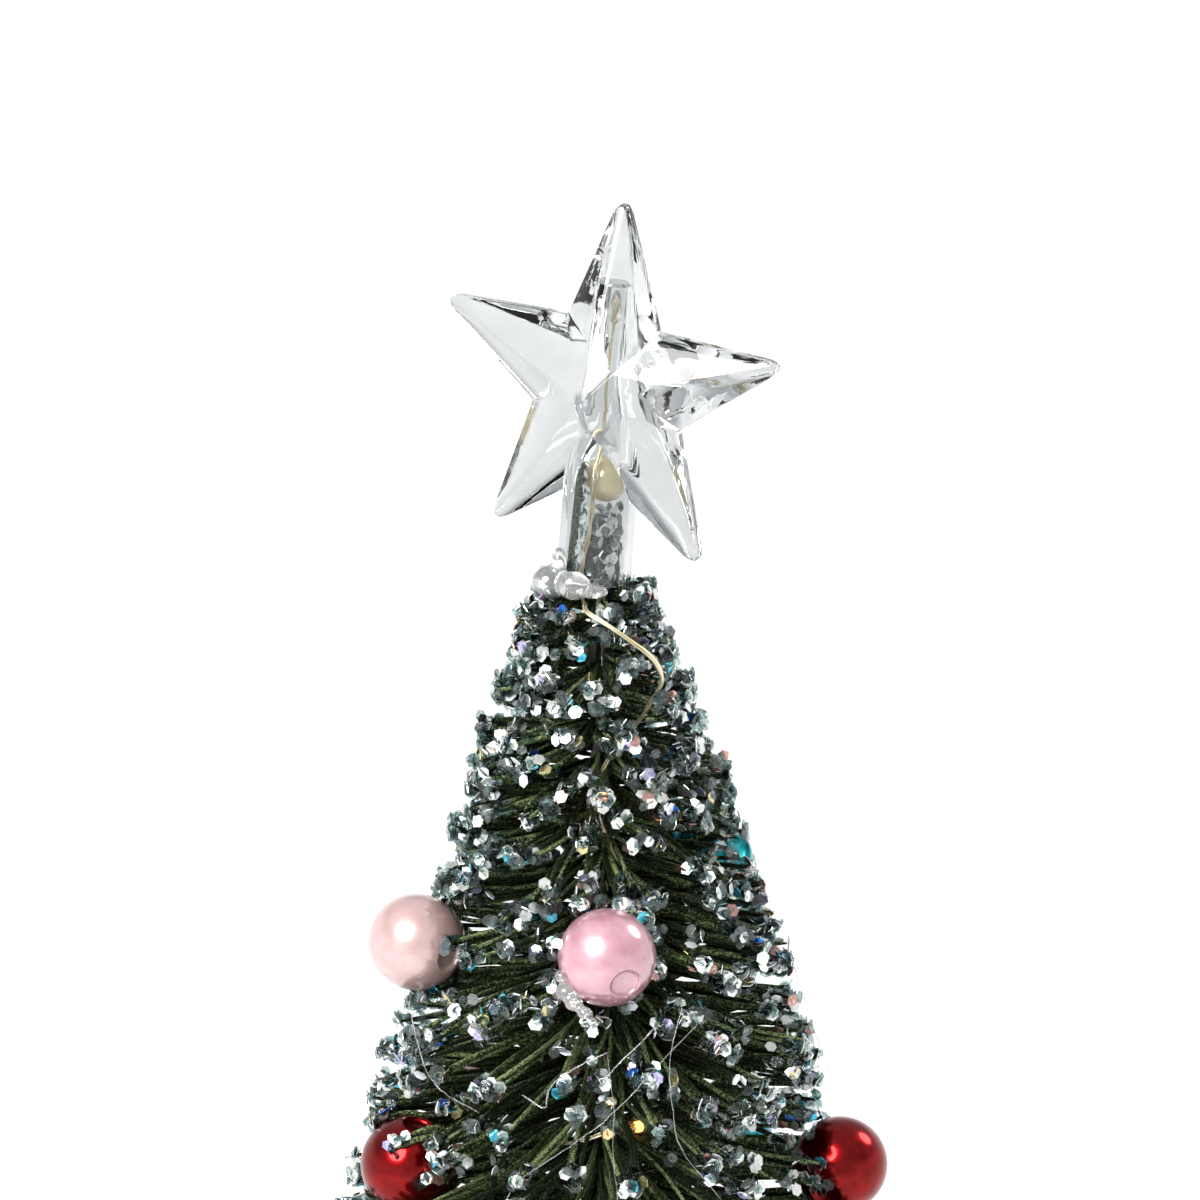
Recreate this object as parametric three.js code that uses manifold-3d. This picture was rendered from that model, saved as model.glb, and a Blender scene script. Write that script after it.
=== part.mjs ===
// An artificial tabletop tree. A bottle-brush tree of dark green bristles stands on a twisted-wire core, with a
// clear star on its tip, drilled beads between its bristles and a string of small lights wound round its core.
// A turned wooden base holds two cells in a tray with a hinged door, and a slide switch at the back.
// Units are millimetres. +Z is up, the front is -Y, and the origin is the middle of the footprint.

import * as THREE from 'three';
import { mergeVertices } from 'three/addons/utils/BufferGeometryUtils.js';
import Module from 'manifold-3d';

const wasm = await Module();
wasm.setup();

// ---------- driving dimensions ----------

const GAP = 0.3; // left between neighbours that touch

const BASE_RADIUS = 38;
const BASE_BOTTOM = 2;
const BASE_TOP = 28;
const POCKET_RADIUS = 32;
const POCKET_CEILING = 20;
const FOOT_RADIUS = 4;
const FOOT_REACH = 30.5;

const FLANGE_RADIUS = 36;
const FLANGE_BOTTOM = 2.4;
const FLANGE_TOP = 5;
const SCREW_REACH = 34;
const SCREW_RADIUS = 1.1;

const CELL_RADIUS = 5.25; // AAA cells, 10.5 mm across and 44.5 mm long with the nub
const CELL_LENGTH = 44.5;
const CELL_PITCH = 11.2;
const CELL_AXIS_HEIGHT = 10.25;
const CASE_LENGTH = 52; // inside the tray's cell case
const CASE_WIDTH = 22.6;
const CASE_WALL = 2;
const CASE_CEILING = 15.8;
const CASE_ROOF = 1.2;

const DOOR_LENGTH = 53;
const DOOR_EDGE_Y = 11.7; // the door's free edge
const DOOR_BOTTOM = 2.6;
const DOOR_THICKNESS = 2;
const HINGE_Y = -10.7;
const HINGE_Z = 3.6;
const HINGE_PIN_RADIUS = 0.7;
const HINGE_PIN_END = 28;

const SWITCH_HEIGHT = 12; // of the slider's middle above the floor
const SWITCH_TRAVEL = 3;
const BEZEL_BACK = 37.9;

const SLEEVE_RADIUS = 4.5;
const SLEEVE_BORE = 3.2;

const BRUSH_BOTTOM = 43.5;
const BRUSH_LENGTH = 190; // from the flat underside to the shoulder that the star sits on
const BRUSH_TOP = BRUSH_BOTTOM + BRUSH_LENGTH;
const SHOULDER_RADIUS = 7.6;
const BRUSH_SLOPE = 0.3545;
const BRUSH_CURVE = 0.000456;
const TIP_RADIUS = 2.4; // the last bristles, which stand up inside the star's stem
const TIP_LENGTH = 9.3;
const BRUSH_BORE = 8.8;

const CORE_WIRE_RADIUS = 0.85;
const CORE_OFFSET = 1;
const CORE_TURNS = 6;

const LED_WIRE_RADIUS = 0.3;
const LED_HELIX_RADIUS = 7;
const LED_SPACING = 75;
const LED_COUNT = 6;

const BEAD_RADIUS = 6;
const BEAD_HOLE_RADIUS = 1.9;
const NEST_RADIUS = 7; // at its corners, so that its flat facets also clear a bead

const STAR_RADIUS = 23.4;
const STAR_NOTCH_RADIUS = 10.4;
const STAR_HALF_DEPTH = 7.5;
const STAR_RIM = 1.4;
const STAR_TIP_ROUND = 1.1;
const STAR_CENTRE = new THREE.Vector3(1.1, 0, BRUSH_TOP + 24.6);
const STAR_TURN = THREE.MathUtils.degToRad(-27);
const STAR_LEAN = THREE.MathUtils.degToRad(4.5);
const STEM_RADIUS = 4.6;
const STEM_LENGTH = 24; // from the star's centre down
const STEM_BORE = 3.7;

// ---------- helpers ----------

/** A closed geometry as a manifold-3d solid, facing out. */
function solid(geometry) {
  const loose = geometry.index ? geometry.toNonIndexed() : geometry;
  const bare = new THREE.BufferGeometry();
  bare.setAttribute('position', loose.getAttribute('position').clone());
  const merged = mergeVertices(bare, 1e-4);
  const vertProperties = merged.getAttribute('position').array;
  const triVerts = new Uint32Array(merged.index.array);
  const made = new wasm.Manifold(new wasm.Mesh({ numProp: 3, vertProperties, triVerts }));
  if (made.volume() > 0) return made;
  const flipped = triVerts.map((_, i) => triVerts[i - (i % 3) + (2 - (i % 3))]);
  return new wasm.Manifold(new wasm.Mesh({ numProp: 3, vertProperties, triVerts: flipped }));
}

/** A manifold-3d solid as a three.js geometry. */
function geometryOf(made) {
  const mesh = made.getMesh();
  const geometry = new THREE.BufferGeometry();
  geometry.setAttribute('position', new THREE.BufferAttribute(mesh.vertProperties, 3));
  geometry.setIndex(new THREE.BufferAttribute(mesh.triVerts, 1));
  geometry.computeVertexNormals();
  return geometry;
}

/** The first geometry with the others joined to it. */
function join(first, ...others) {
  return others.reduce((sum, other) => sum.add(solid(other)), solid(first));
}

/** A manifold-3d solid with the geometries cut out of it. */
function cut(body, ...tools) {
  return tools.reduce((rest, tool) => rest.subtract(solid(tool)), body);
}

/** An outline of [radius, height] points turned about the Z axis. */
function turned(outline, segments) {
  const points = outline.map(([radius, height]) => new THREE.Vector2(radius, height));
  return new THREE.LatheGeometry(points, segments).rotateX(Math.PI / 2);
}

/** An upright cylinder from one height to another. */
function disc(radius, bottom, top, segments, x = 0, y = 0) {
  const outline = [[0, bottom], [radius, bottom], [radius, top], [0, top]];
  return turned(outline, segments).translate(x, y, 0);
}

/** A box given by its lowest and highest corners. */
function block([x0, y0, z0], [x1, y1, z1]) {
  const box = new THREE.BoxGeometry(x1 - x0, y1 - y0, z1 - z0);
  return box.translate((x0 + x1) / 2, (y0 + y1) / 2, (z0 + z1) / 2);
}

/** A round bar along X between two ends. */
function barAlongX(radius, x0, x1, y, z, segments) {
  const bar = new THREE.CylinderGeometry(radius, radius, x1 - x0, segments);
  return bar.rotateZ(Math.PI / 2).translate((x0 + x1) / 2, y, z);
}

/** A round bar of a given radius along a curve. */
function barAlong(curve, radius, steps, sides) {
  const corners = [];
  for (let i = 0; i < sides; i += 1) {
    const angle = (2 * Math.PI * i) / sides;
    corners.push(new THREE.Vector2(radius * Math.cos(angle), radius * Math.sin(angle)));
  }
  const section = new THREE.Shape(corners);
  return new THREE.ExtrudeGeometry(section, { steps, bevelEnabled: false, extrudePath: curve });
}

/** A point round the tree's axis: azimuth 0 is the front and 90 is +X, in degrees. */
function around(azimuth, reach, height) {
  const angle = THREE.MathUtils.degToRad(azimuth);
  return new THREE.Vector3(reach * Math.sin(angle), -reach * Math.cos(angle), height);
}

/** The brush's radius at a distance below its shoulder. */
function brushRadius(below) {
  return SHOULDER_RADIUS + BRUSH_SLOPE * below - BRUSH_CURVE * below * below;
}

const tree = new THREE.Group();

/** Adds one named piece to a group. */
function addPiece(group, name, geometry, material) {
  const mesh = new THREE.Mesh(geometry, material);
  mesh.name = name;
  group.add(mesh);
  return mesh;
}

function finish(color, roughness, metalness) {
  return new THREE.MeshStandardMaterial({ color, roughness, metalness });
}

// ---------- materials ----------

const clearPlastic = finish(0xe9eef0, 0.08, 0);
const creamPearl = finish(0xf0e6c8, 0.3, 0.1);
const hotGlue = finish(0xdfe6ee, 0.2, 0);
const bristleGreen = finish(0x1f2a19, 0.9, 0);
const coreSteel = finish(0x3c4038, 0.45, 1);
const champagneWire = finish(0xd9c79a, 0.3, 1);
const lightDrop = finish(0xfff0c8, 0.15, 0);
const beadFinishes = {
  pink_pearl: finish(0xe8b9c4, 0.28, 0.1),
  peach_pearl: finish(0xe6c0b6, 0.3, 0.1),
  red_bead: finish(0xb5121a, 0.15, 0.7),
  teal_bead: finish(0x1f7f88, 0.2, 0.7),
};
const turnedWood = finish(0xb98a58, 0.55, 0);
const stainedWood = finish(0x5d4128, 0.6, 0);
const blackPlastic = finish(0x1c1c1d, 0.5, 0);
const whitePlastic = finish(0xe9e8e4, 0.4, 0);
const cellSleeve = finish(0x2f6f4a, 0.35, 0.3);
const nickel = finish(0xc4c4bf, 0.25, 1);
const screwSteel = finish(0x8d8f90, 0.35, 1);
const boardGreen = finish(0x1f5a3a, 0.45, 0);
const resistorTan = finish(0xcdb58a, 0.5, 0);
const redLead = finish(0xb02020, 0.45, 0);
const blackLead = finish(0x17171a, 0.45, 0);
const footRubber = finish(0x242424, 0.85, 0);

// ---------- star topper ----------

/** The star's rim: five rounded tips and five notches, as points in the plane of the star. */
function starRim() {
  const rim = [];
  const tipTurn = STAR_TIP_ROUND / STAR_RADIUS;
  for (let arm = 0; arm < 5; arm += 1) {
    const tipAngle = (2 * Math.PI * arm) / 5;
    const notchAngle = tipAngle + Math.PI / 5;
    const roundedTip = [
      [tipAngle - tipTurn, STAR_RADIUS - STAR_TIP_ROUND],
      [tipAngle, STAR_RADIUS],
      [tipAngle + tipTurn, STAR_RADIUS - STAR_TIP_ROUND],
    ];
    for (const [angle, reach] of [...roundedTip, [notchAngle, STAR_NOTCH_RADIUS]]) {
      rim.push([reach * Math.sin(angle), reach * Math.cos(angle)]);
    }
  }
  return rim;
}

/** The faceted body: a low pyramid over each side of the rim, with a narrow band between them. */
function starBody() {
  const rim = starRim();
  const front = new THREE.Vector3(0, -STAR_HALF_DEPTH, 0);
  const back = new THREE.Vector3(0, STAR_HALF_DEPTH, 0);
  const corners = [];
  rim.forEach(([x, z], i) => {
    const [nextX, nextZ] = rim[(i + 1) % rim.length];
    const frontHere = new THREE.Vector3(x, -STAR_RIM / 2, z);
    const frontNext = new THREE.Vector3(nextX, -STAR_RIM / 2, nextZ);
    const backHere = new THREE.Vector3(x, STAR_RIM / 2, z);
    const backNext = new THREE.Vector3(nextX, STAR_RIM / 2, nextZ);
    corners.push(front, frontHere, frontNext);
    corners.push(frontHere, backHere, backNext, frontHere, backNext, frontNext);
    corners.push(back, backNext, backHere);
  });
  return new THREE.BufferGeometry().setFromPoints(corners);
}

/** The stem's blind bore: wide where it takes the tree's tip, then a long narrow core-pin hole. */
function stemBore(mouthBelow) {
  return turned([
    [0, -STEM_LENGTH - mouthBelow],
    [STEM_BORE, -STEM_LENGTH - mouthBelow],
    [STEM_BORE, -9.5],
    [1.9, 2.3],
    [1.6, 13.5],
    [0, 13.5],
  ], 20);
}

function addStar() {
  const star = new THREE.Group();
  star.position.copy(STAR_CENTRE);
  star.rotation.set(0, STAR_LEAN, STAR_TURN, 'YXZ');
  const stem = disc(STEM_RADIUS, -STEM_LENGTH, -1, 24);
  const body = cut(join(starBody(), stem), stemBore(2));
  addPiece(star, 'star_topper', geometryOf(body), clearPlastic);
  tree.add(star);
  star.updateMatrixWorld(true);
  return star;
}

const star = addStar();

/** A small pearl that is caught in the mouth of the star's stem, above the tree's tip. */
function addCreamPearl() {
  const pearl = new THREE.SphereGeometry(2.9, 10, 8).translate(0.75, 0.45, BRUSH_TOP + 13.4);
  addPiece(tree, 'cream_pearl', pearl, creamPearl);
}

// ---------- core and brush ----------

/** One of the two wires that are twisted round each other to clamp the bristles. */
function coreWire(phase) {
  const bottom = POCKET_CEILING + 0.8;
  const top = BRUSH_TOP - 2;
  const points = [];
  const steps = CORE_TURNS * 8;
  for (let i = 0; i <= steps; i += 1) {
    const share = i / steps;
    points.push(around(phase + 360 * CORE_TURNS * share, CORE_OFFSET, bottom + share * (top - bottom)));
  }
  return barAlong(new THREE.CatmullRomCurve3(points), CORE_WIRE_RADIUS, steps, 5);
}

/** The brush's outline, grown by an allowance where a neighbour is cut to clear it. */
function brushOutline(grown) {
  const outline = [[0, BRUSH_BOTTOM - grown], [52 + grown, BRUSH_BOTTOM - grown]];
  const rings = 9;
  const lowest = BRUSH_LENGTH - 3;
  for (let i = 0; i <= rings; i += 1) {
    const below = lowest * (1 - i / rings);
    outline.push([brushRadius(below) + grown, BRUSH_TOP - below + (i === rings ? grown : 0)]);
  }
  outline.push([TIP_RADIUS + grown, BRUSH_TOP + grown]);
  outline.push([TIP_RADIUS + grown, BRUSH_TOP + TIP_LENGTH - 1 + grown]);
  outline.push([0, BRUSH_TOP + TIP_LENGTH + grown]);
  return outline;
}

/** The space round the core that the lights are wound in. It narrows to hold the core's top. */
function brushBore() {
  const coreClear = CORE_OFFSET + CORE_WIRE_RADIUS + 0.45;
  return turned([
    [0, BRUSH_BOTTOM - 1],
    [BRUSH_BORE, BRUSH_BOTTOM - 1],
    [BRUSH_BORE, BRUSH_TOP - 17],
    [coreClear, BRUSH_TOP - 12],
    [coreClear, BRUSH_TOP - 1.5],
    [0, BRUSH_TOP - 1.5],
  ], 16);
}

// ---------- string of lights ----------

/**
 * The wire's route: down the star's stem, out over the tree's front, in to the core and round it, then down
 * the trunk and over the cell case to the board. Heights in the first part are below the brush's shoulder.
 */
function ledRoute() {
  const fromTop = [
    [2, 0, 35.5], [1.45, -0.2, 29], [1.1, -0.4, 24.5], [0.65, -0.8, 19.5],
    [-0.3, -2.3, 15.8], [-0.7, -3.05, 12.8], [-1.2, -2.8, 7.5], [-2, -2.3, 3.4],
    [-2.1, -2.4, 0.8], [-2.1, -3.5, -0.7], [-1.9, -6.4, -0.7], [-1.6, -9.2, -0.9], [1.8, -11, -2.6],
    [6.1, -10.7, -5.9], [7.5, -9.8, -8.8], [7, -8.2, -11.4], [4.6, -6, -16.1],
    [1.4, -6.3, -20.2], [-0.5, -6.8, -24.8], [0.2, -7, -29], [1.8, -6.8, -33],
    [4.4, -5.5, -37.5], [6.6, -2.6, -41], [6.9, 1.6, -44], [4.6, 5.4, -47],
    [0, 7, -50], [-4.8, 5.2, -53], [-7, 1, -57], [-7.2, -2.2, -64],
    [-6.2, -4.4, -71], [-3, -6.8, -71], [1.4, -7.1, -69.4], [5.4, -5, -69.5],
  ];
  const points = fromTop.map(([x, y, z]) => new THREE.Vector3(x, y, BRUSH_TOP + z));
  const turns = 5.25;
  const steps = 42;
  const startHeight = BRUSH_TOP - 70.5;
  const endHeight = BRUSH_BOTTOM + 8.5;
  for (let i = 0; i <= steps; i += 1) {
    const share = i / steps;
    const height = startHeight + share * (endHeight - startHeight);
    points.push(around(90 + 360 * turns * share, LED_HELIX_RADIUS, height));
  }
  const inSleeve = 2.55;
  points.push(new THREE.Vector3(0, 4.6, BRUSH_BOTTOM + 4));
  points.push(new THREE.Vector3(0, inSleeve, BRUSH_BOTTOM - 1));
  points.push(new THREE.Vector3(0, inSleeve, 32));
  points.push(new THREE.Vector3(0, inSleeve, 24));
  points.push(new THREE.Vector3(0, inSleeve, 20.6));
  points.push(new THREE.Vector3(0.2, 4, 18.6));
  points.push(new THREE.Vector3(1.5, 11, 18.4));
  points.push(new THREE.Vector3(3.2, 20, 17.6));
  points.push(new THREE.Vector3(3.6, 23.4, 14.6));
  return new THREE.CatmullRomCurve3(points);
}

const ledCurve = ledRoute();
const LED_STEPS = 112;
const LED_SIDES = 5;
ledCurve.arcLengthDivisions = 1200;
const ledClearance = barAlong(ledCurve, LED_WIRE_RADIUS + GAP, LED_STEPS, LED_SIDES);

/** A drop of clear resin over one light, threaded on the wire. */
function lightDropAt(distance) {
  const share = distance / ledCurve.getLength();
  const shape = new THREE.SphereGeometry(1.2, 8, 6).scale(1, 1, 1.8);
  const turn = new THREE.Quaternion();
  turn.setFromUnitVectors(new THREE.Vector3(0, 0, 1), ledCurve.getTangentAt(share));
  const at = ledCurve.getPointAt(share);
  shape.applyQuaternion(turn).translate(at.x, at.y, at.z);
  const wireEnd = ledCurve.getPointAt(0);
  const endClearance = new THREE.SphereGeometry(LED_WIRE_RADIUS + GAP, 8, 6);
  endClearance.translate(wireEnd.x, wireEnd.y, wireEnd.z);
  return geometryOf(cut(solid(shape), ledClearance, endClearance));
}

function addLights() {
  addPiece(tree, 'led_wire', barAlong(ledCurve, LED_WIRE_RADIUS, LED_STEPS, LED_SIDES), champagneWire);
  for (let i = 0; i < LED_COUNT; i += 1) {
    const distance = 1 + i * LED_SPACING;
    addPiece(tree, `light_drop_${i + 1}`, lightDropAt(distance), lightDrop);
  }
}

// ---------- beads ----------

// Each bead: its finish, its azimuth, its distance below the brush's shoulder, how far its middle is from the
// axis (the surface, less 1.5, where none is given), and the way its hole faces as azimuth and tilt.
const BEADS = [
  { finish: 'pink_pearl', azimuth: 2.3, below: 41, reach: 21.2, hole: [24, -16] },
  { finish: 'peach_pearl', azimuth: -82, below: 45.8, reach: 22.9, hole: [46, -4] },
  { finish: 'teal_bead', azimuth: 134, below: 41, reach: 18.5, hole: [60, 30] },
  { finish: 'red_bead', azimuth: 86, below: 75.9, reach: 30.1, hole: [160, 20] },
  { finish: 'red_bead', azimuth: -68, below: 72.8, reach: 25.6, hole: [60, 75] },
  { finish: 'peach_pearl', azimuth: 170, below: 48 },
  { finish: 'pink_pearl', azimuth: -150, below: 78 },
  { finish: 'teal_bead', azimuth: 150, below: 84 },
  { finish: 'pink_pearl', azimuth: -28, below: 102 },
  { finish: 'peach_pearl', azimuth: 58, below: 106 },
  { finish: 'red_bead', azimuth: 142, below: 112 },
  { finish: 'teal_bead', azimuth: -118, below: 108 },
  { finish: 'red_bead', azimuth: 14, below: 136 },
  { finish: 'pink_pearl', azimuth: 92, below: 140 },
  { finish: 'peach_pearl', azimuth: -66, below: 134 },
  { finish: 'teal_bead', azimuth: 176, below: 138 },
  { finish: 'peach_pearl', azimuth: -140, below: 142 },
  { finish: 'teal_bead', azimuth: -36, below: 168 },
  { finish: 'peach_pearl', azimuth: 50, below: 165 },
  { finish: 'pink_pearl', azimuth: 132, below: 170 },
  { finish: 'red_bead', azimuth: -124, below: 167 },
];

function beadCentre(bead) {
  const reach = bead.reach ?? brushRadius(bead.below) - 1.5;
  return around(bead.azimuth, reach, BRUSH_TOP - bead.below);
}

/** A drilled ball: a round outline that closes on the wall of its hole. */
function drilledBall() {
  const hole = Math.asin(BEAD_HOLE_RADIUS / BEAD_RADIUS);
  const arcs = 6;
  const outline = [];
  for (let i = 0; i <= arcs; i += 1) {
    const angle = hole + ((Math.PI - 2 * hole) * i) / arcs;
    outline.push([BEAD_RADIUS * Math.sin(angle), -BEAD_RADIUS * Math.cos(angle)]);
  }
  outline.push(outline[0]);
  return turned(outline, 10);
}

function addBeads() {
  const counts = {};
  BEADS.forEach((bead, i) => {
    counts[bead.finish] = (counts[bead.finish] ?? 0) + 1;
    const [holeAzimuth, tilt] = bead.hole ?? [bead.azimuth + 35 + 41 * i, 25 - 9 * (i % 6)];
    const level = Math.cos(THREE.MathUtils.degToRad(tilt));
    const facing = around(holeAzimuth, level, Math.sin(THREE.MathUtils.degToRad(tilt)));
    const name = `${bead.finish}_${counts[bead.finish]}`;
    const mesh = addPiece(tree, name, drilledBall(), beadFinishes[bead.finish]);
    mesh.position.copy(beadCentre(bead));
    mesh.quaternion.setFromUnitVectors(new THREE.Vector3(0, 0, 1), facing.normalize());
  });
}

/** The bristles as one solid of their outer shape, hollow round the core, with a nest for each bead. */
function addBrush() {
  const nests = BEADS.map((bead) => {
    const at = beadCentre(bead);
    return new THREE.SphereGeometry(NEST_RADIUS, 8, 6).translate(at.x, at.y, at.z);
  });
  const body = cut(solid(turned(brushOutline(0), 28)), brushBore(), ledClearance, ...nests);
  addPiece(tree, 'bristle_brush', geometryOf(body), bristleGreen);
}

/** The lump of glue at the star's foot, where it runs over the brush's shoulder. */
function addStarGlue() {
  const lump = new THREE.SphereGeometry(1, 12, 8).scale(3, 2.6, 2.3).translate(-5.7, -3, BRUSH_TOP + 0.5);
  const stem = disc(STEM_RADIUS + GAP, -STEM_LENGTH - 3, 0, 24).applyMatrix4(star.matrixWorld);
  const body = cut(solid(lump), stem, turned(brushOutline(GAP), 28), ledClearance);
  addPiece(tree, 'star_glue_bead', geometryOf(body), hotGlue);
}

// ---------- trunk and base ----------

/** The trunk: a stained tube that hides the core, with a collar that rests on the base. */
function addTrunkSleeve() {
  const top = BRUSH_BOTTOM - GAP;
  const flare = 0.9; // of the bore's lower end, where the wire bends out
  const outline = [
    [SLEEVE_BORE, POCKET_CEILING + 3],
    [SLEEVE_BORE + flare, POCKET_CEILING + GAP],
    [SLEEVE_RADIUS, POCKET_CEILING + GAP],
    [SLEEVE_RADIUS, BASE_TOP + GAP],
    [6.6, BASE_TOP + GAP],
    [6.6, BASE_TOP + 1.6],
    [5.4, BASE_TOP + 2.8],
    [SLEEVE_RADIUS + 0.3, BASE_TOP + 5],
    [SLEEVE_RADIUS, top],
    [SLEEVE_BORE, top],
    [SLEEVE_BORE, POCKET_CEILING + 3],
  ];
  addPiece(tree, 'trunk_sleeve', turned(outline, 20), stainedWood);
}

/** Where the tray's three screws stand. */
const screwPlaces = [-90, 30, 150].map((angle) => {
  const turn = THREE.MathUtils.degToRad(angle);
  return [SCREW_REACH * Math.cos(turn), SCREW_REACH * Math.sin(turn)];
});

/** The turned wooden base, bored from below, with a window for the switch at the back. */
function addWoodenBase() {
  const outline = [[0, BASE_BOTTOM], [BASE_RADIUS - 0.8, BASE_BOTTOM], [BASE_RADIUS, BASE_BOTTOM + 0.8]];
  outline.push([BASE_RADIUS, 18]);
  const coveSteps = 4;
  for (let i = 0; i <= coveSteps; i += 1) {
    const angle = (Math.PI / 2) * (i / coveSteps);
    outline.push([BASE_RADIUS - 2 - 5 * Math.sin(angle), 24 - 5 * Math.cos(angle)]);
  }
  for (let i = 1; i <= 3; i += 1) {
    const angle = (Math.PI / 2) * (i / 3);
    outline.push([BASE_RADIUS - 11 + 3 * Math.cos(angle), 25 + 3 * Math.sin(angle)]);
  }
  outline.push([0, BASE_TOP]);
  const windowHalf = SWITCH_TRAVEL / 2 + 3;
  const body = cut(
    solid(turned(outline, 32)),
    disc(POCKET_RADIUS, BASE_BOTTOM - 1, POCKET_CEILING, 32),
    disc(FLANGE_RADIUS + 0.4, BASE_BOTTOM - 1, FLANGE_TOP + GAP, 32),
    disc(SLEEVE_RADIUS + GAP, POCKET_CEILING - 1, BASE_TOP + 1, 20),
    block([-10.4, BEZEL_BACK - 1.9, SWITCH_HEIGHT - 5], [10.4, BASE_RADIUS + 2, SWITCH_HEIGHT + 5]),
    block([-windowHalf, 28, SWITCH_HEIGHT - 2.4], [windowHalf, BASE_RADIUS, SWITCH_HEIGHT + 2.4]),
    ...screwPlaces.map(([x, y]) => disc(SCREW_RADIUS + GAP, FLANGE_TOP - 1, 13.4, 10, x, y)),
  );
  addPiece(tree, 'wooden_base', geometryOf(body), turnedWood);
}

/** The screw's own shape, grown by an allowance where the tray is cut for it. */
function screwShape(grown, x, y) {
  const head = FLANGE_BOTTOM + 0.2;
  return turned([
    [0, head - grown],
    [2.1 + 1.6 * grown, head - grown],
    [SCREW_RADIUS + grown, head + 1.3],
    [SCREW_RADIUS + grown, 11],
    [0, 12.6 + grown],
  ], 10).translate(x, y, 0);
}

function addScrews() {
  screwPlaces.forEach(([x, y], i) => {
    const shape = solid(screwShape(0, x, y));
    const across = block([x - 1.4, y - 0.25, 0], [x + 1.4, y + 0.25, FLANGE_BOTTOM + 0.7]);
    const along = block([x - 0.25, y - 1.4, 0], [x + 0.25, y + 1.4, FLANGE_BOTTOM + 0.7]);
    addPiece(tree, `tray_screw_${i + 1}`, geometryOf(cut(shape, across, along)), screwSteel);
  });
}

/** The plastic tray that closes the base from below and holds the two cells. */
function addBatteryTray() {
  const halfLength = CASE_LENGTH / 2;
  const halfWidth = CASE_WIDTH / 2;
  const roof = CASE_CEILING + CASE_ROOF;
  const caseShell = block(
    [-halfLength - CASE_WALL, -halfWidth - CASE_WALL, FLANGE_TOP - 0.5],
    [halfLength + CASE_WALL, halfWidth + CASE_WALL, roof],
  );
  const boardPosts = [-1, 1].map((side) => block(
    [side > 0 ? 9 : -11.5, 22.5, FLANGE_TOP - 0.5],
    [side > 0 ? 11.5 : -9, 26.5, 10],
  ));
  const boardSlot = block([-9.6, 23.7, FLANGE_TOP + 0.1], [9.6, 25.3, 11]);
  const doorRecess = block(
    [-DOOR_LENGTH / 2 - 0.4, HINGE_Y - 1.4, 0],
    [DOOR_LENGTH / 2 + 0.4, DOOR_EDGE_Y + 0.4, FLANGE_TOP - 0.1],
  );
  const terminalSlots = [-1, 1].map((side) => block(
    [-halfLength - CASE_WALL - 1, (side * CELL_PITCH) / 2 - 1.6, 10.4],
    [-halfLength + 1, (side * CELL_PITCH) / 2 + 1.6, 11.6],
  ));
  const thumbNotch = disc(6, 0, FLANGE_BOTTOM + 1.2, 16, 0, DOOR_EDGE_Y + 2);
  const body = cut(
    join(disc(FLANGE_RADIUS, FLANGE_BOTTOM, FLANGE_TOP, 32), caseShell, ...boardPosts),
    block([-halfLength, -halfWidth, FLANGE_TOP - 1], [halfLength, halfWidth, CASE_CEILING]),
    doorRecess,
    barAlongX(HINGE_PIN_RADIUS + GAP, -HINGE_PIN_END - 0.4, HINGE_PIN_END + 0.4, HINGE_Y, HINGE_Z, 12),
    boardSlot,
    thumbNotch,
    ...terminalSlots,
    ...screwPlaces.map(([x, y]) => screwShape(GAP, x, y)),
    ...screwPlaces.map(([x, y]) => disc(2.4, 0, FLANGE_BOTTOM + 0.3, 10, x, y)),
  );
  addPiece(tree, 'battery_tray', geometryOf(body), blackPlastic);
}

/** The cells' door: a flat plate with a rounded hinge edge and a pin at each end of it. */
function addBatteryDoor() {
  const halfLength = DOOR_LENGTH / 2;
  const plate = block(
    [-halfLength, HINGE_Y, DOOR_BOTTOM],
    [halfLength, DOOR_EDGE_Y, DOOR_BOTTOM + DOOR_THICKNESS],
  );
  const barrel = barAlongX(DOOR_THICKNESS / 2, -halfLength, halfLength, HINGE_Y, HINGE_Z, 12);
  const pins = barAlongX(HINGE_PIN_RADIUS, -HINGE_PIN_END, HINGE_PIN_END, HINGE_Y, HINGE_Z, 12);
  const grips = [3, 5, 7].map((y) => block([-6, y, 0], [6, y + 1, DOOR_BOTTOM + 0.5]));
  const body = cut(join(plate, barrel, pins), ...grips);
  addPiece(tree, 'battery_door', geometryOf(body), blackPlastic);
}

/** A cell along X, with its nub towards +X, then turned and placed. */
function addCell(name, y, nubTowards) {
  const bodyEnd = CELL_LENGTH - 1;
  const outline = [
    [0, 0],
    [CELL_RADIUS - 0.5, 0],
    [CELL_RADIUS, 0.5],
    [CELL_RADIUS, bodyEnd - 0.5],
    [CELL_RADIUS - 0.5, bodyEnd],
    [1.9, bodyEnd],
    [1.9, CELL_LENGTH],
    [0, CELL_LENGTH],
  ];
  const shape = turned(outline, 16);
  const nubEnd = CASE_LENGTH / 2 - 1;
  shape.translate(0, 0, nubEnd - CELL_LENGTH).rotateY((nubTowards * Math.PI) / 2);
  addPiece(tree, name, shape.translate(0, y, CELL_AXIS_HEIGHT), cellSleeve);
}

/** A contact spring that runs along X from a plate to a cell's flat end. */
function contactSpring(fromX, toX, y) {
  const turns = 3;
  const steps = turns * 8;
  const points = [];
  for (let i = 0; i <= steps; i += 1) {
    const share = i / steps;
    const radius = 3.2 - 1.4 * share;
    const angle = 2 * Math.PI * turns * share;
    const x = fromX + share * (toX - fromX);
    points.push(new THREE.Vector3(x, y + radius * Math.cos(angle), CELL_AXIS_HEIGHT + radius * Math.sin(angle)));
  }
  return barAlong(new THREE.CatmullRomCurve3(points), 0.35, steps, 5);
}

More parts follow.
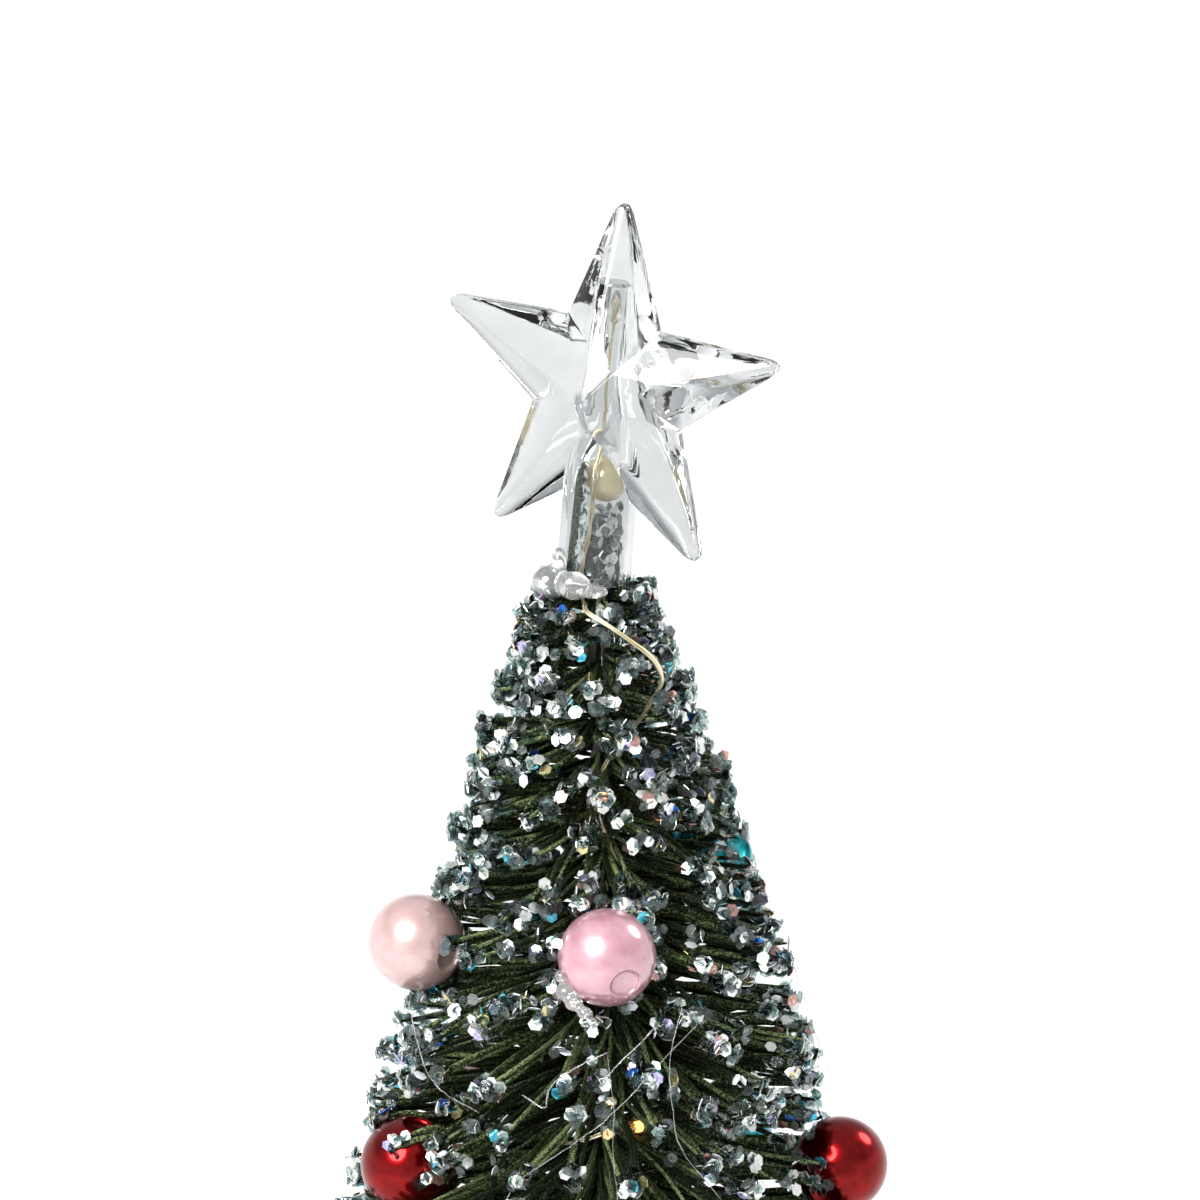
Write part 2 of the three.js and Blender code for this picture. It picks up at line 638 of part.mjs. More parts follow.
/** The cells' contacts: a spring and a plate on the leads' side, and a bridge with a spring opposite. */
function addContacts() {
  const plateBack = CASE_LENGTH / 2 - GAP;
  const plateFront = plateBack - 0.4;
  const springEnd = 20.2;
  const half = CELL_PITCH / 2;
  const low = CELL_AXIS_HEIGHT - 4;
  const high = CELL_AXIS_HEIGHT + 4;
  const endPlate = (y) => block([-plateBack, y - 4, low], [-plateFront, y + 4, high]);
  const tab = (y) => block([-29.4, y - 1.2, 10.8], [-plateFront, y + 1.2, 11.2]);
  const spring = join(endPlate(half), tab(half), contactSpring(-plateFront - 0.2, -springEnd, half));
  addPiece(tree, 'contact_spring', geometryOf(spring), nickel);
  addPiece(tree, 'contact_plate', geometryOf(join(endPlate(-half), tab(-half))), nickel);
  const bridge = join(
    block([plateFront, -half - 4, low], [plateBack, half + 4, high]),
    contactSpring(plateFront + 0.2, springEnd, -half),
  );
  addPiece(tree, 'contact_bridge', geometryOf(bridge), nickel);
}

/** The slide switch: its body on the board, its slider through the base's wall, and the bezel outside. */
function addSwitch() {
  const z = SWITCH_HEIGHT;
  const travel = SWITCH_TRAVEL;
  const shell = solid(block([-6.4, 25.3, z - 2.8], [6.4, 31, z + 2.8]));
  const cavity = block([-4.6, 27, z - 1.7], [4.6, 32, z + 1.7]);
  addPiece(tree, 'switch_body', geometryOf(cut(shell, cavity)), nickel);

  const rest = -travel / 2;
  const carriage = block([rest - 2.7, 27.4, z - 1.3], [rest + 2.7, 30.4, z + 1.3]);
  const stem = block([rest - 1.3, 30, z - 1.1], [rest + 1.3, BEZEL_BACK + 2, z + 1.1]);
  const nicks = [-0.75, 0.75].map((x) => (
    block([rest + x - 0.2, BEZEL_BACK + 1.6, z - 2], [rest + x + 0.2, BEZEL_BACK + 3, z + 2])
  ));
  addPiece(tree, 'switch_slider', geometryOf(cut(join(carriage, stem), ...nicks)), whitePlastic);

  const plate = block([-10, BEZEL_BACK - 1.6, z - 4.6], [10, BEZEL_BACK, z + 4.6]);
  const slotHalf = travel / 2 + 1.3 + 0.4;
  const slot = block([-slotHalf, BEZEL_BACK - 3, z - 1.5], [slotHalf, BEZEL_BACK + 1, z + 1.5]);
  addPiece(tree, 'switch_bezel', geometryOf(cut(solid(plate), slot)), blackPlastic);
}

/** The circuit board that stands in the tray's posts, and the resistor on its front. */
function addBoard() {
  addPiece(tree, 'circuit_board', block([-9.3, 24, FLANGE_TOP + 0.4], [9.3, 25, 16.4]), boardGreen);
  const resistor = barAlongX(0.9, -5.5, -1, 22.8, 12, 8);
  addPiece(tree, 'series_resistor', resistor, resistorTan);
}

/** The two leads from the cells' terminals, over the case, to the board. */
function addLeads() {
  const lead = (points) => {
    const curve = new THREE.CatmullRomCurve3(points.map((at) => new THREE.Vector3(...at)));
    return barAlong(curve, 0.5, 20, 6);
  };
  const half = CELL_PITCH / 2;
  const black = lead([
    [-30.1, half, 11.8], [-29.6, half + 0.6, 15], [-29.2, half + 1.4, 17.6], [-26.5, half + 3, 18.6],
    [-20, 12.5, 18.4], [-11, 19.5, 17.4], [-7.2, 22.8, 15],
  ]);
  addPiece(tree, 'black_lead', black, blackLead);
  const red = lead([
    [-30.1, -half, 11.8], [-29.6, -half + 0.6, 15], [-29.2, -half + 1.4, 17.6], [-26.5, -half + 3, 18.6],
    [-18, 3, 18.5], [-9, 13, 18.4], [-3.4, 22.8, 15],
  ]);
  addPiece(tree, 'red_lead', red, redLead);
}

/** Four rubber feet under the tray. */
function addFeet() {
  const top = FLANGE_BOTTOM - GAP;
  [45, 135, 225, 315].forEach((angle, i) => {
    const at = around(angle, FOOT_REACH, 0);
    const outline = [[0, 0], [FOOT_RADIUS - 0.4, 0], [FOOT_RADIUS, 0.5], [FOOT_RADIUS, top], [0, top]];
    addPiece(tree, `foot_${i + 1}`, turned(outline, 12).translate(at.x, at.y, 0), footRubber);
  });
}

// ---------- assembly ----------

addCreamPearl();
addPiece(tree, 'core_wire_a', coreWire(0), coreSteel);
addPiece(tree, 'core_wire_b', coreWire(180), coreSteel);
addBrush();
addStarGlue();
addLights();
addBeads();
addTrunkSleeve();
addWoodenBase();
addBatteryTray();
addScrews();
addBatteryDoor();
addCell('battery_1', CELL_PITCH / 2, 1);
addCell('battery_2', -CELL_PITCH / 2, -1);
addContacts();
addSwitch();
addBoard();
addLeads();
addFeet();

export default tree;
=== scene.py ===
"""Looks of the tabletop tree: a bottle-brush tree with glittered tips, drilled beads and a clear star.

Lengths are millimetres, made metres in the meshes. Only the camera's and the lights' are metres.
"""

import math

import bpy
import numpy as np
from mathutils import Matrix, Vector


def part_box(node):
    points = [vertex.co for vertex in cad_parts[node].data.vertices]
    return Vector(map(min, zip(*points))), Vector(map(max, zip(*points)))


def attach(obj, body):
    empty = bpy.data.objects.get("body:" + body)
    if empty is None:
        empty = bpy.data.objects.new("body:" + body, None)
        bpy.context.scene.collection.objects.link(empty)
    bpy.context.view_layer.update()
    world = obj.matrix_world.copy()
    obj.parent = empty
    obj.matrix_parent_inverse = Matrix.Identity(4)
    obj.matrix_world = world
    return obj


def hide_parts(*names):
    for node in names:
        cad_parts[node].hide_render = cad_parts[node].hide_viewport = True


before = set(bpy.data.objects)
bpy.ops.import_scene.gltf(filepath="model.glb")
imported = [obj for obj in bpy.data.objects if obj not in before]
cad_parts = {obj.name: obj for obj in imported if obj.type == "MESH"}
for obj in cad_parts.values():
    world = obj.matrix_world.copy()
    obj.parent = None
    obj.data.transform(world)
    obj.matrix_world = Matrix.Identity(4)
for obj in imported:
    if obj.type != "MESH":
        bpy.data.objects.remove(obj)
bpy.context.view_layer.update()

MM = 0.001
SEED = 20
BRUSH_LOW, BRUSH_HIGH = [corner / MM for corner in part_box("bristle_brush")]
TIP_LENGTH = 9.3  # of the last bristles, which stand up inside the star's stem
BRUSH_BOTTOM = BRUSH_LOW.z
BRUSH_TOP = BRUSH_HIGH.z - TIP_LENGTH
SHOULDER_RADIUS = 7.6
BRUSH_SLOPE = 0.3545
BRUSH_CURVE = 0.000456

ROWS_APART = 6.2  # between the brush's rows, which is half a turn of the core
BRISTLES_PER_MM = 24
BRISTLE_RADIUS = 0.29
ROOT_REACH = 1.2  # from the brush's axis to where a bristle leaves the core
CORE_BEND = 1.0  # how far the brush's top leans to the left
BEAD_RADIUS = 6
BEAD_HOLE_RADIUS = 1.9
BEAD_KINDS = ("pink_pearl", "peach_pearl", "red_bead", "teal_bead")
# Pieces pushed in through the bristles: the way in, as azimuth and tilt, and the share it moved.
PARTINGS = {
    "peach_pearl_1": (-16, 10, 0.85),
    "red_bead_1": (30, 15, 0.8),
    "red_bead_2": (-20, 15, 0.6),
    "teal_bead_1": (15, 15, 0.4),
    "light_drop_3": (3, 18, 0.75),
}
BEADS = sorted(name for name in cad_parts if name.rsplit("_", 1)[0] in BEAD_KINDS)

STAR_CENTRE = Vector((1.1, 0, BRUSH_TOP + 24.6))
STEM_LEAN = math.radians(4.5)
STAR_PLACE = (
    Matrix.Translation(STAR_CENTRE)
    @ Matrix.Rotation(STEM_LEAN, 4, "Y")
    @ Matrix.Rotation(math.radians(-27), 4, "Z")
)
STEM_RADIUS = 4.6
STEM_BORE = 3.7
STEM_LENGTH = 24
STEM_FOOT_X = -0.8  # where the leaning stem's axis meets the brush's shoulder
LAMP_COUNT = 6


# ---- geometry helpers ----


def around(azimuth, reach, height):
    """Points round the tree's axis: azimuth 0 is the front and 90 is +X, in degrees."""
    angle = np.radians(azimuth)
    return np.stack(np.broadcast_arrays(reach * np.sin(angle), -reach * np.cos(angle), height), -1)


def direction_of(azimuth, tilt):
    """The unit vector that points an azimuth's way and up by a tilt, in degrees."""
    return around(azimuth, math.cos(math.radians(tilt)), math.sin(math.radians(tilt)))


def brush_radius(below):
    """The brush's radius at a distance below its shoulder."""
    return SHOULDER_RADIUS + BRUSH_SLOPE * below - BRUSH_CURVE * below**2


def unit(vectors):
    return vectors / np.maximum(np.linalg.norm(vectors, axis=-1, keepdims=True), 1e-9)


def mesh_of(name, points, faces, sharp_angle=None):
    """A mesh from points in millimetres and arrays of faces."""
    mesh = bpy.data.meshes.new(name)
    points = np.asarray(points, float).reshape(-1, 3)
    corners = np.concatenate([np.asarray(f).ravel() for f in faces])
    sizes = np.concatenate([np.full(len(f), np.asarray(f).shape[1]) for f in faces])
    mesh.vertices.add(len(points))
    mesh.vertices.foreach_set("co", (points * MM).astype(np.float32).ravel())
    mesh.loops.add(len(corners))
    mesh.loops.foreach_set("vertex_index", corners.astype(np.int32))
    mesh.polygons.add(len(sizes))
    mesh.polygons.foreach_set("loop_start", (np.cumsum(sizes) - sizes).astype(np.int32))
    mesh.polygons.foreach_set("use_smooth", np.ones(len(sizes), bool))
    mesh.update(calc_edges=True)
    if sharp_angle is not None:
        mesh.set_sharp_from_angle(angle=math.radians(sharp_angle))
    return mesh


def added(name, data):
    """Adds an object for a mesh, a light or a camera to the scene."""
    made = bpy.data.objects.new(name, data)
    bpy.context.scene.collection.objects.link(made)
    return made


def piece(name, mesh, material, body="root", slot=None, replaces=()):
    """Adds one piece of the object, which rides on a body and may stand for CAD nodes."""
    made = added(name, mesh)
    mesh.materials.clear()
    mesh.materials.append(material)
    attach(made, body)
    if replaces:
        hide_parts(*replaces)


def shape(name, points, faces, material, sharp_angle=None, **links):
    """Adds one piece made from points and faces."""
    piece(name, mesh_of(name, points, faces, sharp_angle), material, **links)


def grid_faces(rows, columns, closed_rows=False):
    """Quads over a grid of points whose columns close on themselves."""
    row = np.arange(rows if closed_rows else rows - 1)[:, None]
    column = np.arange(columns)[None, :]
    this_row = row * columns
    next_row = (row + 1) % rows * columns
    beside = (column + 1) % columns
    corners = [this_row + column, this_row + beside, next_row + beside, next_row + column]
    return np.stack(np.broadcast_arrays(*corners), -1).reshape(-1, 4)


def tube_faces(rings, sides):
    """Faces of a tube with capped ends."""
    cap = np.arange(sides)
    return [grid_faces(rings, sides), cap[None, ::-1], cap[None, :] + (rings - 1) * sides]


def repeated(faces, count, corners):
    """The faces of one solid, for a count of solids with so many corners each."""
    starts = (np.arange(count) * corners)[:, None, None]
    return [(part[None] + starts).reshape(-1, part.shape[1]) for part in faces]


def tube(points, radii, sides):
    """Points and faces of a tube along a path, which doesn't twist."""
    points = np.asarray(points, float)
    radii = np.broadcast_to(radii, len(points))
    along = unit(np.gradient(points, axis=0))
    side = unit(np.cross(along[0], [0.3, 0.2, 0.93]))
    angles = np.linspace(0, 2 * np.pi, sides, endpoint=False)
    rings = []
    for point, direction, radius in zip(points, along, radii):
        side = unit(side - direction * np.dot(side, direction))
        other = np.cross(direction, side)
        circle = np.outer(np.cos(angles), side) + np.outer(np.sin(angles), other)
        rings.append(point + radius * circle)
    return np.concatenate(rings), tube_faces(len(points), sides)


def merged(parts):
    """Joins several (points, faces) into one."""
    points, faces, start = [], [], 0
    for part_points, part_faces in parts:
        points.append(part_points)
        faces.extend(np.asarray(f) + start for f in part_faces)
        start += len(part_points)
    return np.concatenate(points), faces


def turned(outline, segments):
    """Points of an outline of (radius, height) turned round the Z axis, ring by ring."""
    outline = np.asarray(outline, float)
    radius, height = outline[:, :1], outline[:, 1:]
    angles = np.linspace(0, 2 * np.pi, segments, endpoint=False)
    rings = np.stack([radius * np.cos(angles), radius * np.sin(angles), height + 0 * angles], -1)
    return rings.reshape(-1, 3)


def turned_solid(outline, segments):
    """A turned solid whose outline runs up from the axis to the axis."""
    points = turned(outline[1:-1], segments)
    rows = len(outline) - 2
    low, high = len(points), len(points) + 1
    ring = np.arange(segments)
    beside = (ring + 1) % segments
    bottom = np.stack([beside, ring, np.full(segments, low)], -1)
    last = (rows - 1) * segments
    top = np.stack([ring + last, beside + last, np.full(segments, high)], -1)
    ends = [[0, 0, outline[0][1]], [0, 0, outline[-1][1]]]
    return np.concatenate([points, ends]), [grid_faces(rows, segments), bottom, top]


def smooth_path(points, step):
    """A smooth curve through points, as points a step apart."""
    points = np.asarray(points, float)
    padded = np.concatenate([[2 * points[0] - points[1]], points, [2 * points[-1] - points[-2]]])
    t = np.linspace(0, 1, 24, endpoint=False)[:, None]
    fine = []
    for a, b, c, d in zip(padded, padded[1:], padded[2:], padded[3:]):
        squared = (2 * a - 5 * b + 4 * c - d) * t**2
        cubed = (3 * b - a - 3 * c + d) * t**3
        fine.append(0.5 * (2 * b + (c - a) * t + squared + cubed))
    fine = np.concatenate([*fine, points[-1:]])
    length = np.concatenate([[0], np.cumsum(np.linalg.norm(np.diff(fine, axis=0), axis=1))])
    wanted = np.linspace(0, length[-1], max(2, int(length[-1] / step) + 1))
    return np.stack([np.interp(wanted, length, fine[:, i]) for i in range(3)], -1)


def ball_outline(radius, steps):
    """Half a circle, from the bottom to the top, as an outline to turn."""
    angles = np.linspace(0, math.pi, steps)
    return [[radius * math.sin(a), -radius * math.cos(a)] for a in angles]


def middle_of(name):
    """The middle of a CAD node's box, in millimetres."""
    low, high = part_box(name)
    return (low + high) / 2 / MM


def placed(points, matrix):
    """Points moved by a 4 x 4 matrix that is in millimetres."""
    matrix = np.array(matrix)
    return np.asarray(points) @ matrix[:3, :3].T + matrix[:3, 3]


def towards(direction, at):
    """The matrix that turns +Z to a direction and moves the origin to a point."""
    return Matrix.Translation(at) @ Vector(direction).to_track_quat("Z", "Y").to_matrix().to_4x4()


# ---- material helpers ----


def grey(value):
    return (value, value, value, 1)


def srgb(red, green, blue):
    """A colour given as on a screen, 0 to 255, as linear light."""
    def linear(value):
        share = value / 255
        return share / 12.92 if share <= 0.04045 else ((share + 0.055) / 1.055) ** 2.4

    return (linear(red), linear(green), linear(blue), 1)


def noise_node(tree, size, detail=4, stretch=(1, 1, 1)):
    """A noise in the object's own space, whose features are about size millimetres across."""
    place = tree.nodes.new("ShaderNodeTexCoord")
    mapping = tree.nodes.new("ShaderNodeMapping")
    mapping.inputs["Scale"].default_value = [factor / (size * MM) for factor in stretch]
    noise = tree.nodes.new("ShaderNodeTexNoise")
    noise.inputs["Scale"].default_value = 1
    noise.inputs["Detail"].default_value = detail
    tree.links.new(place.outputs["Object"], mapping.inputs["Vector"])
    tree.links.new(mapping.outputs["Vector"], noise.inputs["Vector"])
    return noise.outputs["Fac"]


def ramp_node(tree, value, stops):
    """Colours for a value: stops are (place, colour)."""
    ramp = tree.nodes.new("ShaderNodeValToRGB")
    elements = ramp.color_ramp.elements
    while len(elements) < len(stops):
        elements.new(0.5)
    for element, (place, colour) in zip(elements, stops):
        element.position = place
        element.color = colour
    tree.links.new(value, ramp.inputs["Fac"])
    return ramp.outputs["Color"]


def material_of(name, sockets):
    """A new material, its node tree and its shader, with constant values set."""
    material = bpy.data.materials.new(name)
    material.use_nodes = True
    tree = material.node_tree
    shader = tree.nodes["Principled BSDF"]
    for socket, value in sockets.items():
        shader.inputs[socket].default_value = value
    return material, tree, shader


def add_bump(tree, shader, height, depth):
    """Lets a value raise the surface by up to depth millimetres."""
    bump_node = tree.nodes.new("ShaderNodeBump")
    bump_node.inputs["Strength"].default_value = 1
    bump_node.inputs["Distance"].default_value = depth * MM
    tree.links.new(height, bump_node.inputs["Height"])
    tree.links.new(bump_node.outputs["Normal"], shader.inputs["Normal"])


def finish_of(name, colours, grain, bump, sockets, stretch=(1, 1, 1), rough_range=None):
    """A material whose colour varies with a noise of grain millimetres, with a bump of (size, depth).

    sockets are constant values on the shader. rough_range, where given, lets the roughness vary too.
    """
    material, tree, shader = material_of(name, sockets)
    noise = noise_node(tree, grain, stretch=stretch)
    stops = [(0.3 + 0.4 * i / max(1, len(colours) - 1), colour) for i, colour in enumerate(colours)]
    tree.links.new(ramp_node(tree, noise, stops), shader.inputs["Base Color"])
    if rough_range:
        low, high = rough_range
        greys = [(0.3, grey(low)), (0.7, grey(high))]
        rough = ramp_node(tree, noise_node(tree, grain * 1.7, stretch=stretch), greys)
        tree.links.new(rough, shader.inputs["Roughness"])
    if bump:
        size, depth = bump
        add_bump(tree, shader, noise_node(tree, size, stretch=stretch), depth)
    return material


def bristle_finish():
    """Dark olive flocking: speckled fibres, some bristles lighter than others."""
    speck_size, tone_share, flock_depth = 0.3, 0.28, 0.16
    material, tree, shader = material_of("bristle_flocking", {
        "Roughness": 0.85, "Specular IOR Level": 0.15,
        "Sheen Weight": 0.2, "Sheen Roughness": 0.5, "Sheen Tint": srgb(150, 172, 112),
    })
    tone = tree.nodes.new("ShaderNodeAttribute")
    tone.attribute_name = "tone"
    mixed = tree.nodes.new("ShaderNodeMath")
    mixed.operation = "MULTIPLY_ADD"
    mixed.inputs[1].default_value = tone_share
    tree.links.new(tone.outputs["Fac"], mixed.inputs[0])
    tree.links.new(noise_node(tree, speck_size), mixed.inputs[2])
    stops = [
        (0.5, srgb(2, 4, 1)), (0.6, srgb(16, 23, 10)),
        (0.7, srgb(47, 59, 33)), (0.8, srgb(122, 136, 94)),
    ]
    tree.links.new(ramp_node(tree, mixed.outputs["Value"], stops), shader.inputs["Base Color"])
    add_bump(tree, shader, noise_node(tree, speck_size, detail=3), flock_depth)
    return material


# ---- camera, stage and light ----


def look_from(made, azimuth, elevation, distance, below):
    """Puts a camera or a light a distance from a point below the shoulder, looking at it."""
    back = Vector(direction_of(azimuth, elevation))
    made.location = Vector((0, 0, (BRUSH_TOP - below) * MM)) + back * distance
    made.rotation_mode = "QUATERNION"
    made.rotation_quaternion = (-back).to_track_quat("-Z", "Y")


def add_camera():
    """The camera looks a little down on the top of the tree, along +Y."""
    distance, view_width = 0.9, 0.1469
    data = bpy.data.cameras.new("camera")
    data.sensor_width = 36
    data.lens = data.sensor_width * distance / view_width
    data.clip_start = 0.01
    data.clip_end = 50
    camera = added("camera", data)
    look_from(camera, 0, 18, distance, below=2.3)
    bpy.context.scene.camera = camera


def stage_piece(name, points, faces, material):
    made = added(name, mesh_of(name, points, faces))
    made.data.materials.append(material)
    return made


def add_floor():
    """A wide white table top."""
    radius, sides = 4000, 96
    glow = {"Emission Color": (1, 1, 1, 1), "Emission Strength": 0.78}
    white = finish_of(
        "table_white", [grey(0.3), grey(0.34)], 40, None,
        {"Roughness": 0.8, "Specular IOR Level": 0.1, **glow},
    )
    stage_piece("floor", turned([[radius, 0]], sides), [np.arange(sides)[None, :]], white)


def add_panel(name, middle, width, height, tone):
    """A grey card, seen only by reflections and soft light: a studio's dark side."""
    x, y = width / 2, height / 2
    corners = [(-x, -y, 0), (x, -y, 0), (x, y, 0), (-x, y, 0)]
    aim = Vector((0, 0, BRUSH_TOP))
    turn = towards(aim - Vector(middle), Vector(middle))
    card = finish_of(
        name, [grey(tone), grey(tone * 1.3)], 300, None, {"Roughness": 1.0, "Specular IOR Level": 0.0}
    )
    panel = stage_piece(name, placed(corners, turn), [np.arange(4)[None, :]], card)
    panel.visible_camera = False
    panel.visible_shadow = False


def add_softbox(name, azimuth, elevation, distance, size, power):
    """A round soft light that looks at the top of the tree."""
    data = bpy.data.lights.new(name, "AREA")
    data.shape = "DISK"
    data.size = size
    data.energy = power
    light = added(name, data)
    look_from(light, azimuth, elevation, distance, below=30)
    light.visible_camera = False


def add_world():
    """A studio that is white near the horizon and greyer overhead."""
    world = bpy.data.worlds.new("studio")
    bpy.context.scene.world = world
    world.use_nodes = True
    tree = world.node_tree
    place = tree.nodes.new("ShaderNodeTexCoord")
    split = tree.nodes.new("ShaderNodeSeparateXYZ")
    tree.links.new(place.outputs["Generated"], split.inputs["Vector"])
    white, overcast, ceiling = grey(1), (0.42, 0.43, 0.45, 1), (0.6, 0.6, 0.61, 1)
    stops = [(0.0, white), (0.14, white), (0.4, overcast), (0.9, ceiling)]
    colour = ramp_node(tree, split.outputs["Z"], stops)
    tree.links.new(colour, tree.nodes["Background"].inputs["Color"])
    tree.nodes["Background"].inputs["Strength"].default_value = 1.05


def add_stage():
    scene = bpy.context.scene
    scene.view_settings.view_transform = "Standard"
    scene.view_settings.look = "None"
    add_camera()
    add_floor()
    add_world()
    add_softbox("key_light", -38, 42, 0.95, 0.68, 18)
    add_softbox("rim_light", 118, 35, 1.2, 0.5, 5)
    add_panel("dark_side", (350, -1500, 620), 1500, 900, 0.6)


# ---- the brush ----


def bead_centres():
    """The beads' centres, in the order of their names."""
    return np.array([np.array(middle_of(name)) for name in BEADS])


def near_top(height, depth):
    """1 at the brush's shoulder, falling to 0 a depth below it."""
    return np.clip(1 - (BRUSH_TOP - height) / depth, 0, 1)


def clear_beads(points, directions):
    """Bends bristles round the beads: a point inside one moves out to its side."""
    gap = 0.1
    shell = BEAD_RADIUS + BRISTLE_RADIUS + gap
    for centre in bead_centres():
        offset = points - centre
        along = (offset * directions).sum(-1, keepdims=True)
        across = offset - along * directions
        sideways = np.linalg.norm(across, axis=-1, keepdims=True)
        inside = (np.abs(along) < shell) & (sideways < shell)
        room = np.sqrt(np.maximum(shell**2 - along**2, 0))
        push = np.where(inside, np.maximum(room - sideways, 0), 0)
        points += push * unit(across)
    return points


def parted(points, random):
    """Leaves out bristles where a piece was pushed in between them."""
    kept = np.ones(len(points), bool)
    for name, (azimuth, tilt, moved) in PARTINGS.items():
        low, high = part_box(name)
        width = max(high - low) / 2 / MM - 0.5
        way_in = direction_of(azimuth, tilt)
        offset = points - np.array((low + high) / 2 / MM)
        along = np.maximum(offset @ way_in, 0)
        apart = np.linalg.norm(offset - along[..., None] * way_in, axis=-1)
        in_the_way = ((apart < width) & (along > 0)).any(1)
        kept &= ~(in_the_way & (random.random(len(points)) < moved))
    return points[kept]


def gather_ends(points, random):
    """Draws the bristles' ends together in threes and fours, as glue does."""
    farthest, closeness, bend_start = 2.7, 0.82, 0.35
    count, steps = points.shape[:2]
    ends = points[:, -1]
    leaders = ends[random.choice(count, count * 2 // 7, replace=False)]
    apart = np.linalg.norm(ends[:, None] - leaders[None], axis=-1)
    pull = leaders[apart.argmin(1)] - ends
    pull *= np.minimum(1, farthest / np.maximum(apart.min(1), 0.1))[:, None]
    share = np.linspace(0, 1, steps)
    bend = closeness * np.clip((share - bend_start) / (1 - bend_start), 0, 1) ** 2
    return points + pull[:, None] * bend[None, :, None]


def bristle_roots(low, high, random):
    """Heights, azimuths and places in a row of the bristles between two heights."""
    stray_share, row_spread = 0.12, 16
    count = int((high - low) * BRISTLES_PER_MM)
    root = np.sort(random.uniform(low, high, count))
    turn = 180 * root / ROWS_APART + 180 * random.integers(0, 2, count)
    strays = random.random(count) < stray_share
    off_row = random.uniform(-90, 90, count)
    azimuth = turn + np.where(strays, off_row, random.normal(0, row_spread, count))
    return root, azimuth, random.normal(0, 0.5, count)


def bristle_tilts(root, azimuth, place_in_row, random):
    """Tilts in degrees: each row is a fan, wider near the shoulder, with waves round it."""
    mean_tilt, row_fan, top_fan, wave_tilt = -1.5, 6.5, 8, 1.4
    wave = np.sin(np.radians(3 * azimuth) + root * 1.7) + np.sin(np.radians(5 * azimuth) - root * 0.9)
    fan = row_fan + top_fan * near_top(root, 45)
    return mean_tilt + fan * place_in_row + wave_tilt * wave + random.normal(0, 1.3, len(root))


def bristle_reaches(root, random):
    """How far the bristles reach. One in twenty is cut shorter."""
    lowest_row, inset, shoulder_inset = 187, 0.3, 0.6
    count = len(root)
    reach = brush_radius(np.clip(BRUSH_TOP - root, 0, lowest_row))
    uneven = np.abs(random.normal(0, 0.025, count))
    reach *= 1 - uneven - np.where(random.random(count) < 0.05, 0.12, 0)
    return reach - (inset + shoulder_inset * near_top(root, 8))


def bristle_paths(low, high, steps, random):
    """The bristles whose roots lie between two heights, as an array of points along each one.

    Each row is combed: its upper bristles lean up and its lower ones down, so that they seldom cross.
    """
    row_height, sway_size = 0.7, 0.16
    root, azimuth, place_in_row = bristle_roots(low, high, random)
    column = (len(root), 1)
    tilt = np.radians(bristle_tilts(root, azimuth, place_in_row, random))
    root = root + row_height * place_in_row
    reach = bristle_reaches(root, random)
    share = np.linspace(0, 1, steps)[None, :]
    distance = ROOT_REACH + (reach[:, None] - ROOT_REACH) * share
    sweep = np.degrees(random.normal(0, 0.06, column)) * share**2
    sag = random.uniform(0.01, 0.05, column) * reach[:, None] * share**2
    waves = share * random.uniform(0.6, 1.6, column) + random.random(column)
    sway = sway_size * np.sin(2 * np.pi * waves)
    height = root[:, None] + distance * np.tan(tilt)[:, None] - sag + sway * share
    height = np.minimum(height, BRUSH_TOP + random.uniform(-0.9, 0.5, column) * share)
    height = np.maximum(height, BRUSH_BOTTOM + BRISTLE_RADIUS)
    azimuth = azimuth[:, None] + sweep + np.degrees(sway * share / np.maximum(distance, 6))
    points = around(azimuth, distance, height)
    points[..., 0] -= CORE_BEND * near_top(root, 50)[:, None] * share
    points = parted(gather_ends(points, random), random)
    directions = unit(points[:, -1:] - points[:, :1])
    return clear_beads(points, directions)


def bristle_mesh(name, points, random):
    """Flocked bristles: each a stalk whose rings are uneven, with a blunt end."""
    sides = 4
    root_share, end_share = 0.6, 0.55
    count, steps = points.shape[:2]
    along = unit(np.gradient(points, axis=1))
    side = unit(np.cross(along, [0, 0, 1.0]))
    other = np.cross(along, side)
    angles = np.linspace(0, 2 * np.pi, sides, endpoint=False) + random.uniform(0, 6, (count, 1, 1))
    thickness = BRISTLE_RADIUS * random.uniform(0.88, 1.12, (count, 1, 1))
    radii = thickness * random.uniform(0.86, 1.26, (count, steps, sides))
    radii[:, 0] *= root_share
    radii[:, -1] *= end_share
    cosine, sine = np.cos(angles)[..., None], np.sin(angles)[..., None]
    swing = cosine * side[:, :, None] + sine * other[:, :, None]
    rings = points[:, :, None] + radii[..., None] * swing
    mesh = mesh_of(name, rings, repeated(tube_faces(steps, sides), count, steps * sides))
    tone = np.repeat(random.random(count), steps * sides)
    attribute = mesh.attributes.new("tone", "FLOAT", "POINT")
    attribute.data.foreach_set("value", tone.astype(np.float32))
    return mesh


